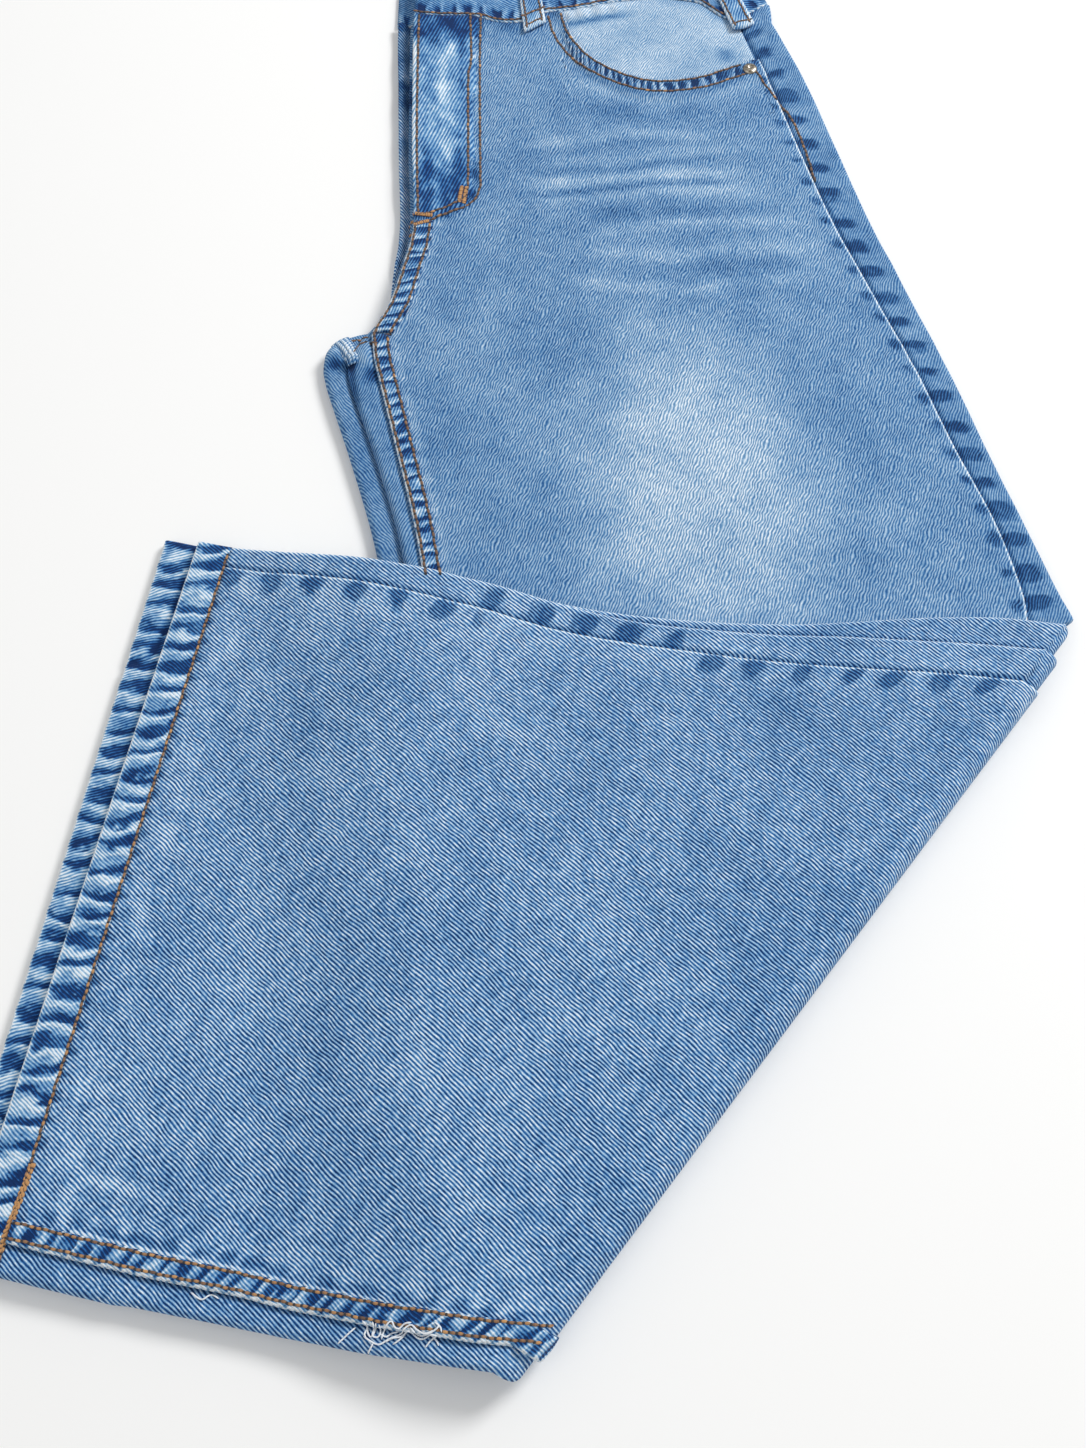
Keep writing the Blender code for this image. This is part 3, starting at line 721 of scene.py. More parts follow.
def front_across(column, low, high):
    """Columns lie closer beside the seams."""
    if column <= EDGE_COLUMNS:
        return low + EDGE_SPAN * column / EDGE_COLUMNS
    if column >= FRONT_COLUMNS - EDGE_COLUMNS:
        return high - EDGE_SPAN * (FRONT_COLUMNS - column) / EDGE_COLUMNS
    share = (column - EDGE_COLUMNS) / (FRONT_COLUMNS - 2 * EDGE_COLUMNS)
    return low + EDGE_SPAN + (high - low - 2 * EDGE_SPAN) * share


def front_spot(sections, row, column, name):
    """Where a grid point of a front panel lies, seen from its seams and ends."""
    section = sections[row]
    width = width_of(section)
    across = front_across(column, -section[name + "_in"], width + section[name + "_out"])
    share = across / width
    last = sections[-1]
    return {
        "section": section,
        "across": across,
        "from_in": across,
        "from_out": width - across,
        "along_in": section["along_in"],
        "along_out": section["along_out"],
        "from_end": (last["in"] - section["in"]).length * (1.0 - share)
        + (last["out"] - section["out"]).length * share,
        "rank": section["rank"],
        "flap": section["flap"],
    }


def left_front_relief(spot):
    """Height added to the left front: shallow ridges of the whiskers and puckered seams."""
    x, y = spot["x"], spot["y"]
    if spot["flap"] or spot["section"]["turn"] > 0:
        return 0.0
    shown = smooth_step((y - 425.0 + 0.12 * x) / 30.0)
    height = 0.7 + 0.7 * cloud(x, y, 70, 8.0) + 0.25 * cloud(x, y, 18, 9.0)
    for points, half_width, strength in WHISKERS:
        if abs(y - read_curve(points, x)) < 3 * half_width:
            ends = smooth_step((min(x - points[0][0], points[-1][0] - x) + 12.0) / 30.0)
            fall = bell((y - read_curve(points, x)) / half_width)
            height += 1.4 * strength * ends * fall
    edge = 1.0 - 0.5 * bell(spot["from_out"] / 5.0)
    height += 0.5 * bell((spot["from_out"] - 5.0) / 4.0) * roping(spot["along_out"], 16.0, 3.0)
    height += 0.3 * inside_fly(x, y) * cloud(x, y, 10, 11.0)
    return max(height, 0.05) * shown * edge


def right_front_relief(spot):
    """Height added to the right front where it is the flap's top, and where its folded edge
    shows beside the fly."""
    x, y = spot["x"], spot["y"]
    if not spot["flap"]:
        rise = smooth_step((y - 598.0) / 16.0) * smooth_step((-3.6 - spot["from_in"]) / 3.4)
        return 4.2 * rise * (1.0 + 0.4 * cloud(x, y, 30, 26.0))
    leave_fold = smooth_step((spot["rank"] - len(UPPER)) / 1.5)
    height = 0.9 + 1.1 * cloud(x, y, 85, 18.0) + 0.3 * cloud(x, y, 24, 19.0)
    height += 1.0 * bell((spot["from_out"] - 6.0) / 5.0) * roping(spot["along_out"], 17.0, 13.0)
    height += 0.5 * bell((spot["from_end"] - 6.0) / 6.0) * roping(spot["across"], 12.0, 15.0)
    edge = 1.0 - 0.6 * bell(spot["from_end"] / 4.0)
    return max(height, 0.05) * leave_fold * edge


def front_surface(name, sections, depth, top_line, relief, side, tone_of):
    """A function that places the grid of a front panel."""
    def place(column, row):
        spot = front_spot(sections, row, column, name)
        section = spot["section"]
        flat = base_place(section, spot["across"], top_line)
        point = turned_point(section, flat, depth)
        spot["x"], spot["y"] = flat
        if side > 0 and section["turn"] == 0:
            point.z += front_lift(flat, section["rank"])
        point.z += relief(spot)
        return point, tone_of(spot), weave_pair(section, flat, depth, side)
    return place


def front_panel(name, sections, depth, top_line, relief, side, tone_of, material, fly=None):
    """A front panel. Where it has a fly, that takes its own material."""
    surface = front_surface(name, sections, depth, top_line, relief, side, tone_of)
    form = cloth_form(FRONT_COLUMNS, len(sections) - 1, surface, turn_row=fold_row(sections))
    for face in form.faces:
        spot = face.calc_center_median() / MM
        x, y = spot.x + PLAN_CENTRE.x, spot.y + PLAN_CENTRE.y
        face.material_index = 1 if fly and inside_fly(x, y) > 0.5 else 0
    piece = finish_piece(name + "_cloth", form, material, CLOTH, fly)
    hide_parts(name + "_panel")
    return piece


RIM_STEPS = 5
STRIP_STEPS = 12
MIDDLE_STEPS = 16
STRIP_SHOWN = 26.0
RIM_ROUND = 3.6
SWELL = 2.0


def face_spots(section, name, cover):
    """One face of a back panel, rim to rim: (across, share of the half thickness, swell)."""
    width = width_of(section)
    low, high = -section[name + "_in"], width + section[name + "_out"]
    rims = []
    for side in ("_in", "_out"):
        reach, foot = section[name + side], section[cover + side] + SIDE_GAP
        strip = reach - foot
        swell = SWELL * smooth_step((strip - 3.0) / 5.0)
        row = []
        for step in range(1, RIM_STEPS + 1):
            angle = math.pi / 2 * step / RIM_STEPS
            row.append((RIM_ROUND * (1.0 - math.cos(angle)), math.sin(angle), swell))
        for step in range(1, STRIP_STEPS + 1):
            back = RIM_ROUND + (STRIP_SHOWN - RIM_ROUND) * step / STRIP_STEPS
            rise = smooth_step((strip - back) / 1.9 + 0.3)
            row.append((back, 1.0, swell * rise))
        rims.append(row)
    start, end = low + STRIP_SHOWN, high - STRIP_SHOWN
    spots = [(low + back, share, swell) for back, share, swell in rims[0]]
    for step in range(1, MIDDLE_STEPS):
        spots.append((start + (end - start) * step / MIDDLE_STEPS, 1.0, 0.0))
    spots += [(high - back, share, swell) for back, share, swell in reversed(rims[1])]
    return spots


FACE_COUNT = 2 * (RIM_STEPS + STRIP_STEPS) + MIDDLE_STEPS - 1


def upper_leg(section):
    return section["turn"] < math.pi / 2


def cover_of(covers, section):
    """Which piece a back panel's edge shows past: on the upper leg, or in the flap."""
    return covers[0] if upper_leg(section) else covers[1]


def back_panel(name, covers, low, high, sections, top_line, side, seed, materials):
    """A back panel: a thick rounded solid that stands for its hidden layers, closed at both
    ends, whose edges show as soft rolls."""
    middle, half = (low + high) / 2, (high - low) / 2
    columns = 2 * FACE_COUNT + 2
    cache = {}

    def ring(row):
        if row in cache:
            return cache[row]
        section = sections[row]
        width = width_of(section)
        upper = upper_leg(section)
        still = section["turn"] in (0.0, math.pi)
        cover = cover_of(covers, section)
        spots = [(-section[name + "_in"], middle)]
        for outward, shown in ((-1.0, upper), (1.0, not upper)):
            face = face_spots(section, name, cover)
            side_spots = []
            for across, share, swell in face:
                raised = swell if shown and still else 0.0
                side_spots.append((across, middle + outward * (half + raised) * share))
            if outward > 0:
                side_spots.reverse()
                spots.append((width + section[name + "_out"], middle))
            spots += side_spots
        cache[row] = spots
        return spots

    def place(column, row):
        section = sections[row]
        across, depth = ring(row)[column % columns]
        flat = base_place(section, across, top_line)
        point = turned_point(section, flat, depth)
        width = width_of(section)
        rim = min(across + section[name + "_in"], width + section[name + "_out"] - across)
        spot = {
            "x": flat.x, "y": flat.y, "from_in": across, "from_out": width - across,
            "along_in": section["along_in"], "along_out": section["along_out"],
            "from_rim": rim, "flap": section["flap"],
            "past_cover": across - width - section[cover_of(covers, section) + "_out"],
        }
        shown = abs(depth - middle) > half + 0.2
        if shown:
            point.z += 0.5 * cloud(section["along_in"], across, 26, seed)
        if shown and upper_leg(section) and across < 0:
            point.z += crotch_shape(flat.x, flat.y)[0]
        return point, strip_tone(spot, seed), weave_pair(section, flat, depth, side, 1)

    rows = len(sections) - 1
    form = cloth_form(columns, rows, place, closed=True, turn_row=fold_row(sections))
    close_ends(form)
    piece = finish_piece(name + "_cloth", form, materials[0], second_material=materials[1])
    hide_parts(name + "_panel")
    return piece


def close_ends(form):
    """Close both open ends of a flattened tube."""
    edges = [edge for edge in form.edges if edge.is_boundary]
    bmesh.ops.holes_fill(form, edges=edges, sides=0)


HEM_TURN_STEPS = 8


def ring_path(section, tube, low, high, count):
    """A flattened ring round a leg: (across, depth, which way it faces)."""
    width = width_of(section)
    radius = (high - low - HEM_CLOTH) / 2
    middle = (low + high) / 2
    start = HEM_CLOTH / 2 - section[tube + "_in"] + radius
    end = width + section[tube + "_out"] - HEM_CLOTH / 2 - radius
    spots = []
    flat_count = count // 2 - HEM_TURN_STEPS
    for step in range(flat_count):
        share = step / flat_count
        spots.append((start + (end - start) * share, middle - radius))
    for step in range(HEM_TURN_STEPS):
        angle = math.pi * step / HEM_TURN_STEPS
        spots.append((end + radius * math.sin(angle), middle - radius * math.cos(angle)))
    for step in range(flat_count):
        share = step / flat_count
        spots.append((end + (start - end) * share, middle + radius))
    for step in range(HEM_TURN_STEPS):
        angle = math.pi * step / HEM_TURN_STEPS
        spots.append((start - radius * math.sin(angle), middle + radius * math.cos(angle)))
    return spots


HEM_COLUMNS = 300
HEM_ROWS = 10
HEM_WAVE = 12.5
HEM_RANK = 99.0
HEM_CREASE = ((-193, 416), (-197, 400), (-201, 387), (-206, 374), (-209, 368), (-219, 365))


def leg_hem(name, tube, low, high, stations, side, seed, shade, material):
    """A hem: a ring of turned-up cloth round a leg's opening, roped by its one stitch row."""
    last, before = stations[-1], stations[-2]
    edge_station = moved_along(last, before, HEM_WIDTH, HEM_WIDTH)
    start_station = moved_along(last, before, GAP, GAP)
    pair = [start_station, edge_station]
    top = (low + high) / 2

    def place(column, row):
        share = row / HEM_ROWS
        section = make_section(pair, 0, share, math.pi, HEM_RANK, True)
        across, depth = ring_path(section, tube, low, high, HEM_COLUMNS)[column % HEM_COLUMNS]
        flat = base_place(section, across)
        point = turned_point(section, flat, depth)
        slant = across + 6.0 * share - 5.0 * (share - 0.4) ** 2
        waves = (slant + (400.0 if depth < top else 0.0)) / HEM_WAVE + seed
        arch = math.sin(math.pi * min(share * 1.05, 1.0))
        if depth > top:
            point.z += 0.25 + 1.1 * roping(slant, 21.0, seed) * arch
        tone = 0.56 + 0.26 * cloud(across, share * HEM_WIDTH, 9, seed)
        # shade darkens the whole of the lower, left hem: painted shade.
        tone -= 0.08 * bell(share / 0.15) + shade - 0.24 * bell((share - 1.0) / 0.1)
        # The left hem's end has a crease, sunk into the cloth and darkened there with painted
        # shade.
        if shade and depth > top:
            crease = bell(near_line(flat.x, flat.y, HEM_CREASE) / 2.2)
            tone -= 0.5 * crease
            point.z -= 1.6 * crease
        strength = 0.55 + 0.45 * bell((share - 0.3) / 0.4)
        mark = (waves, (1.0 - share) * HEM_WIDTH, strength)
        return point, (tone, mark), weave_pair(section, flat, depth, side)

    form = cloth_form(HEM_COLUMNS, HEM_ROWS, place, closed=True, turn_row=0)
    piece = finish_piece(name + "_cloth", form, material, HEM_CLOTH - 0.2)
    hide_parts(name)
    return piece


def in_the_turn(section):
    return 0.0 < section["turn"] < math.pi


def across_for(sections, row, width):
    """Length across a section that gives a strip this width square to the in seam. Round the
    knee fold it stays as it is where the flap starts."""
    while in_the_turn(sections[row]):
        row += 1
    section = sections[row]
    first = row if row == 0 or in_the_turn(sections[row - 1]) else row - 1
    last = min(row + 1, len(sections) - 1)
    seam = (sections[last]["in"] - sections[first]["in"]).normalized()
    along = (section["out"] - section["in"]).normalized()
    return width / max(abs(seam.x * along.y - seam.y * along.x), 0.5)


FELL_COLUMNS = 6


def seam_fell(node, sections, width, depth, relief, side, seed, name, material):
    """A felled seam: a folded strip stitched down on a front panel's face."""
    rows = len(sections) - 1
    outward = -1.0 if depth < FOLD_HEIGHT / 2 else 1.0

    def place(column, row):
        share = column / FELL_COLUMNS
        section = sections[row]
        across = 0.4 + (across_for(sections, row, width) - 0.4) * share
        flat = base_place(section, across)
        edge = bell((share - 0.5) / 0.42) - 0.35
        along = section["along_in"]
        if sections[-1]["flap"]:
            along += depth * (section["turn"] - math.pi)
        ridge = roping(along + 5.0 * share, 13.0, seed)
        proud = 0.35 * edge + 0.55 * (ridge - 0.3) * edge
        turned_proud = outward * proud * abs(math.sin(section["turn"]))
        point = turned_point(section, flat, depth + turned_proud)
        spot = {
            "x": flat.x, "y": flat.y, "section": section, "from_in": across,
            "from_out": width_of(section) - across, "along_in": along,
            "along_out": section["along_out"], "rank": section["rank"],
            "flap": section["flap"], "across": across, "from_end": 40.0,
        }
        if not in_the_turn(section):
            point.z += proud + relief(spot)
        if section["turn"] == 0 and side > 0:
            point.z += front_lift(flat, section["rank"])
        tone = 0.44 + 0.36 * cloud(along, across, 7, seed + 1.0)
        tone += 0.12 * bell((share - 1.0) / 0.12) + 0.34 * bell(share / 0.16)
        mark = ((along + 3.0 * share) / 8.5, across - 0.4, 0.75)
        return point, (tone, mark), weave_pair(section, flat, depth, side)

    form = cloth_form(FELL_COLUMNS, rows, place, turn_row=0 if sections[-1]["flap"] else None)
    piece = finish_piece(name, form, material, FELL_CLOTH)
    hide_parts(node)
    return piece


def band_foot(x):
    return read_curve(WAIST_SEAM, x) + GAP


def band_point(x, share, level):
    """A point of the band, a share of its height up: it leans in towards the waist."""
    foot = band_foot(x)
    rise = (read_curve(BAND_TOP, x) - foot) * share
    side_share = (x - BAND_FLY_X) / (BAND_SIDE_X - BAND_FLY_X)
    return Vector((x - BAND_LEAN * rise * max(side_share, 0.0), foot + rise, level))


BAND_STEPS = 50
BAND_TURN_STEPS = 6


def band_path():
    """Points along the folded waistband, from its under end to the fly: (x, level)."""
    ends = (
        (BAND_UNDER_X, BAND_SIDE_X), (BAND_SIDE_X, BAND_BACK_X),
        (BAND_BACK_X, BAND_SIDE_X), (BAND_SIDE_X, BAND_FLY_X),
    )
    path = []
    radius = BAND_PITCH / 2
    for layer, (start, end) in enumerate(ends):
        level = BAND_CLOTH / 2 + BAND_PITCH * layer
        last = layer == len(ends) - 1
        for step in range(BAND_STEPS + (1 if last else 0)):
            path.append((start + (end - start) * step / BAND_STEPS, level))
        if not last:
            outward = 1.0 if end == BAND_SIDE_X else -1.0
            for step in range(BAND_TURN_STEPS):
                angle = math.pi * step / BAND_TURN_STEPS
                x = end + outward * radius * math.sin(angle)
                path.append((x, level + radius * (1.0 - math.cos(angle))))
    return path


BAND_ROWS = 12
BAND_TALL = 40.0


def waistband(material):
    """The waistband, folded under with the waist, puckered along its lower seam."""
    path = band_path()
    travelled = [0.0]
    for (x0, level0), (x1, level1) in zip(path, path[1:]):
        travelled.append(travelled[-1] + math.hypot(x1 - x0, level1 - level0))
    top_level = path[-1][1]

    def place(column, row):
        x, level = path[column]
        share = row / BAND_ROWS
        point = band_point(x, share, level)
        along = travelled[column]
        ridge = roping(along, 11.0, 41.0)
        if level > top_level - 0.1:
            point.z += 0.30 + 0.5 * (ridge - 0.4) * bell((share - 0.15) / 0.18)
            point.z += 0.35 * math.sin(math.pi * share)
        tone = 0.40 + 0.26 * cloud(along, share * BAND_TALL, 12, 42.0)
        tone += 0.22 * bell((share - 1.0) / 0.05) - 0.10 * bell((share - 0.12) / 0.1)
        strength = 0.8 * (bell((share - 0.12) / 0.14) + bell((share - 0.88) / 0.1))
        mark = (along / 10.0, share * BAND_TALL, strength)
        spot = (share * BAND_TALL * MM, along * MM)
        return point, (tone, mark), [spot, spot]

    form = cloth_form(len(path) - 1, BAND_ROWS, place)
    piece = finish_piece("waistband_cloth", form, material, BAND_CLOTH - 0.3)
    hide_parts("waistband")
    return piece


FRONT_LOOP_X = -13.5
SIDE_LOOP_X = 121.0
LOOP_WIDTH = 14.0
LOOP_STITCH_INSETS = (2.2, 11.8)
LOOP_CLOTH = 1.6
LOOP_LEVEL = 13.0 + LOOP_CLOTH / 2


def belt_loop(node, left_x, material):
    """A belt loop: a flat strip with two stitched edges, folded under at its foot."""
    rows, columns = 24, 8

    def place(column, row):
        share = row / rows
        side = column / columns
        height = -0.27 + 1.24 * share
        x = left_x + LOOP_WIDTH * side
        point = band_point(x, height, LOOP_LEVEL)
        foot = bell(share / 0.14)
        ridges = bell((side - 0.17) / 0.12) + bell((side - 0.83) / 0.12)
        point.z += 0.25 * (1.0 - ridges) + 0.45 * foot
        tone = 0.50 + 0.26 * cloud(x, share * 50, 9, left_x) + 0.16 * foot
        edge = LOOP_WIDTH * min(side, 1.0 - side)
        spot = (side * LOOP_WIDTH * MM, share * 0.05)
        return point, (tone, (share * 6.0, edge, 0.3 * bell((edge - 2.2) / 1.4))), [spot, spot]

    form = cloth_form(columns, rows, place)
    piece = finish_piece(node + "_cloth", form, material, LOOP_CLOTH)
    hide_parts(node)
    return piece


FLY_FACING_TOP_Y = 844.4


def fly_facing(material):
    """The fly's facing, under the left front."""
    rows, columns = 40, 10
    level = FOLD_HEIGHT - LEFT_FRONT_DEPTH
    foot = FLY_FOOT_Y + GAP

    def place(column, row):
        y = foot + (FLY_FACING_TOP_Y - foot) * row / rows
        left, right = seam_x("in", y), fly_edge(y)
        x = left + (right - left) * column / columns
        if row == rows:
            y = min(y, waist_top(x) - GAP)
        spot = (x * MM, y * MM)
        return Vector((x, y, level)), (0.3, NO_SEAM), [spot, spot]

    piece = finish_piece("fly_facing_cloth", cloth_form(columns, rows, place), material, CLOTH)
    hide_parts("fly_facing")
    return piece


FACING_START_X = 3.0
FACING_UNDERLAP = 11.0


def pocket_facing(material):
    """The pocket's facing in the mouth, with the puffed fold below the waistband, painted lighter
    on the fold and with painted shadow in the hollow under it.
    """
    rows, columns = 30, 56
    level = FOLD_HEIGHT - LEFT_FRONT_DEPTH
    top_width = UPPER[0]["out_x"] - FACING_START_X
    foot_width = UPPER[2]["out_x"] - 4.0 - FACING_START_X

    def place(column, row):
        share, height = column / columns, row / rows
        top_x = FACING_START_X + top_width * share
        foot_x = FACING_START_X + foot_width * share
        top = Vector((top_x, waist_top(top_x)))
        foot = Vector((foot_x, pocket_top(foot_x) - FACING_UNDERLAP))
        x, y = top.lerp(foot, height)
        below_top = waist_top(x) - y
        open_part = smooth_step((y - pocket_top(x) - 2.0) / 5.0)
        fold = bell((below_top - 5.0) / 4.5) * (1.0 - smooth_step((x - 40.0) / 26.0))
        puff = fold * (2.8 + 0.9 * math.sin(x * 0.55)) * smooth_step((x - 12.0) / 6.0)
        hollow = bell((below_top - 12.5) / 2.2) * (1.0 - smooth_step((x - 46.0) / 20.0))
        sag = 0.4 + 0.5 * cloud(x, y, 30, 51.0)
        z = level + open_part * (puff + max(sag, 0.0) * smooth_step(below_top / 8.0))
        # Painted light on the puffed fold and painted shadow in the hollow below it. The tone is
        # also darker just under the waistband towards the side and at one spot, and has painted
        # shade where the facing goes under the front's edge.
        tone = 0.69 + 0.10 * cloud(x, y, 30, 52.0) + 0.14 * fold - 0.40 * hollow * open_part
        tone -= 0.16 * smooth_step((9.0 - below_top) / 9.0) * smooth_step((x - 60.0) / 30.0)
        tone -= 0.30 * bell(math.hypot(x - 119.0, y - 806.0) / 6.0)
        tone -= 0.22 * smooth_step((pocket_top(x) + 2.0 - y) / 3.0)
        spot = (x * MM, y * MM)
        return Vector((x, y, z)), (tone, NO_SEAM), [spot, spot]

    piece = finish_piece("pocket_facing_cloth", cloth_form(columns, rows, place), material, CLOTH)
    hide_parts("pocket_facing")
    return piece


GATHER_LINE = ((-119.5, 576.5), (-114.5, 569.5), (-110.5, 562.0), (-109.0, 556.5))
GATHER_WIDTH = 11.5


def gathered_end(tree, material):
    """The right leg's bound inseam, gathered into pleats where it comes out from under the
    rise."""
    spots = line_points(GATHER_LINE, 0.7)
    columns = 26

    def place(column, row):
        middle, way = spots[row]
        share = column / columns - 0.5
        end_share = row / (len(spots) - 1)
        narrow = 1.0 - 0.35 * end_share
        side = Vector((-way.y, way.x)) * (GATHER_WIDTH * share * narrow)
        x, y = middle.x + side.x, middle.y + side.y
        hit, _ = cloth_below(tree, middle)
        pleats = math.sin(share * 26.0 + 1.6 * end_share)
        arch = math.cos(math.pi * share) * math.sin(math.pi * (0.12 + 0.76 * end_share))
        level = hit.z / MM - 0.5 + 3.6 * arch + 0.45 * pleats * arch
        # Painted light and shade: the pleats and the arch's crown are painted lighter and their
        # sides darker, and the end that goes under the rise has painted shade.
        tone = 0.55 + 0.30 * pleats + 0.12 * arch - 0.30 * bell((end_share - 1.0) / 0.16)
        spot = (x * MM, y * MM)
        return Vector((x, y, level)), (tone, NO_SEAM), [spot, spot]

    form = cloth_form(columns, len(spots) - 1, place)
    return finish_piece("gathered_seam_end", form, material, CLOTH)


# Metal.

BUTTON_SPOT = Vector((-68.0, 866.0, 12.8))
BUTTON_PROFILE = (
    (0.0, 2.5), (2.2, 2.45), (3.0, 2.9), (4.2, 3.0), (5.2, 2.6), (6.6, 2.75), (7.6, 3.45),
    (8.2, 3.5), (8.5, 3.0), (8.4, 2.0), (7.0, 1.2), (4.2, 0.9), (3.8, 0.0), (0.0, 0.0),
)
RIVET_SPOT = Vector((133.5, 792.0, 13.4))
RIVET_PROFILE = (
    (0.0, 0.9), (0.9, 0.95), (1.2, 1.55), (2.0, 1.65), (3.6, 1.35), (4.5, 0.7), (4.7, 0.0),
    (0.0, 0.0),
)


SPIN_STEPS = 36


def turned_metal(node, spot, profile, material):
    """A round metal cap, turned from its profile of (radius, height)."""
    form = bmesh.new()
    points = [form.verts.new(plan_point(spot + Vector((r, 0.0, h)))) for r, h in profile]
    edges = [form.edges.new(pair) for pair in zip(points, points[1:])]
    bmesh.ops.spin(
        form, geom=points + edges, cent=plan_point(spot), axis=(0, 0, 1),
        angle=2 * math.pi, steps=SPIN_STEPS, use_merge=True)
    bmesh.ops.remove_doubles(form, verts=form.verts, dist=MERGE_DISTANCE)
    piece = finish_piece(node + "_metal", form, material)
    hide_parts(node)
    return piece


# Sewing.

STITCH_PITCH = 3.3
THREAD_LONG = 1.75
THREAD_WIDE = 0.74
THREAD_HIGH = 0.5
THREAD_LIFT = 0.10
HOLE_SHADE_LONG = 0.9
STITCH_BATCH = 30


def cloth_tree(pieces):
    """The outer faces of these pieces, to lay thread on."""
    shown = bpy.context.evaluated_depsgraph_get()
    points, faces = [], []
    for piece in pieces:
        mesh = piece.evaluated_get(shown).to_mesh()
        start = len(points)
        points += [vertex.co.copy() for vertex in mesh.vertices]
        faces += [[start + index for index in face.vertices] for face in mesh.polygons]
    return BVHTree.FromPolygons(points, faces)


def line_points(line, spacing):
    """Points at an even spacing along a smooth line through plan points."""
    fine = []
    for number in range(len(line) - 1):
        before, first = Vector(line[max(number - 1, 0)]), Vector(line[number])
        second, after = Vector(line[number + 1]), Vector(line[min(number + 2, len(line) - 1)])
        for step in range(8):
            t = step / 8
            fine.append(0.5 * (2 * first + (second - before) * t
                               + (2 * before - 5 * first + 4 * second - after) * t * t
                               + (3 * first - before - 3 * second + after) * t ** 3))
    fine.append(Vector(line[-1]))
    spots, travelled, wanted = [], 0.0, 0.0
    for first, second in zip(fine, fine[1:]):
        length = (second - first).length
        while length > 0 and travelled + length >= wanted:
            share = (wanted - travelled) / length
            spots.append((first.lerp(second, share), (second - first).normalized()))
            wanted += spacing
        travelled += length
    return spots


def add_stitch(form, layer, tree, place, way, worn, size, half_length):
    """One stitch: a small rounded length of thread on the cloth below this place."""
    spot, normal = cloth_below(tree, place)
    if spot is None:
        return
    if normal.z < 0:
        normal = -normal
    along = Vector((way.x, way.y, 0.0))
    along = (along - normal * along.dot(normal)).normalized()
    across = normal.cross(along)
    turn = Matrix((along, across, normal)).transposed().to_4x4()
    half_length *= MM * size
    scale = Matrix.Diagonal((half_length, THREAD_WIDE * MM * size, THREAD_HIGH * MM, 1))
    lift = normal * (THREAD_LIFT * MM)
    matrix = Matrix.Translation(spot + lift) @ turn @ scale
    made = bmesh.ops.create_uvsphere(form, u_segments=8, v_segments=4, radius=1.0, matrix=matrix)
    for vertex in made["verts"]:
        reach = (vertex.co - spot).dot(along) / half_length
        # worn is how bright the thread is: its wear, or 0 for the short dark pieces between
        # stitches. Each stitch darkens towards its ends: painted shade where the thread sinks into
        # the cloth.
        vertex[layer] = worn * (1.0 - 0.85 * reach ** 4)


def join_form(joined, form):
    """Add a small form to the joined one, and free it."""
    mesh = bpy.data.meshes.new("small_form")
    form.to_mesh(mesh)
    form.free()
    joined.from_mesh(mesh)
    bpy.data.meshes.remove(mesh)


def sew(name, tree, rows, wear, material):
    """Rows of stitches, each a line of plan points, joined as one piece. wear is how far the
    thread has been rubbed to gold."""
    joined = bmesh.new()
    number = 0
    for line, size, length, bright in rows:
        spots = line_points(line, STITCH_PITCH * size * length)
        for start in range(0, len(spots), STITCH_BATCH):
            batch = bmesh.new()
            layer = batch.verts.layers.float.new("wear_and_shade")
            for place, way in spots[start:start + STITCH_BATCH]:
                number += 1
                sway = 0.18 * math.sin(number * 2.1)
                place = place + Vector((-way.y, way.x)) * sway
                worn = bright or wear + 0.5 * noise.noise(Vector((number * 0.73, 5.0, 0.0)))
                add_stitch(batch, layer, tree, place, way, worn, size, THREAD_LONG * length)
                # A short dark piece between stitches: painted shade where the thread sinks into
                # the cloth.
                if not bright:
                    hole_shade = place + way * STITCH_PITCH * size / 2
                    add_stitch(batch, layer, tree, hole_shade, way, 0.0, size, HOLE_SHADE_LONG)
            join_form(joined, batch)
    return finish_piece(name, joined, material)


STRAND_SPACING = 0.9
STRAND_RADIUS = 0.4
STRAND_SIDES = 5


def lay_strands(name, tree, lines, material):
    """Loose threads lying in soft curls on the cloth below them."""
    joined = bmesh.new()
    for number, line in enumerate(lines):
        spots = line_points(line, STRAND_SPACING)

        def place(column, row):
            point, way = spots[row]
            hit, _ = cloth_below(tree, point)
            level = hit.z / MM if hit else 0.0
            level += 0.5 + 0.5 * abs(math.sin(row * 0.5 + number))
            angle = 2.0 * math.pi * column / STRAND_SIDES
            slim = STRAND_RADIUS * (1.0 if 0 < row < len(spots) - 1 else 0.4)
            side = Vector((-way.y, way.x)) * math.cos(angle) * slim
            spot = Vector((point.x + side.x, point.y + side.y, level + math.sin(angle) * slim))
            return spot, (1.0, NO_SEAM), [(0.0, 0.0)]

        strand = cloth_form(STRAND_SIDES, len(spots) - 1, place, closed=True)
        close_ends(strand)
        join_form(joined, strand)
    return finish_piece(name, joined, material)


def plain_rows(*lines, size=1.0):
    """Rows of plain topstitching, as sew takes them: line, size, length and brightness."""
    return [(line, size, 1.0, 0.0) for line in lines]


def bar_rows(start, end, half, count, size=0.9):
    """A bartack: bright stitches packed across a line."""
    start, end = Vector(start), Vector(end)
    way = (end - start).normalized()
    side = Vector((-way.y, way.x)) * half
    rows = []
    for step in range(count):
        middle = start.lerp(end, step / max(count - 1, 1))
        rows.append(((tuple(middle - side), tuple(middle + side)), size, 1.0, 0.95))
    return rows


# Materials.

def hex_colour(code):
    """An sRGB hex colour as linear red, green, blue and alpha."""
    parts = [int(code[place:place + 2], 16) / 255 for place in (1, 3, 5)]
    linear = [c / 12.92 if c <= 0.04045 else ((c + 0.055) / 1.055) ** 2.4 for c in parts]
    return (*linear, 1.0)


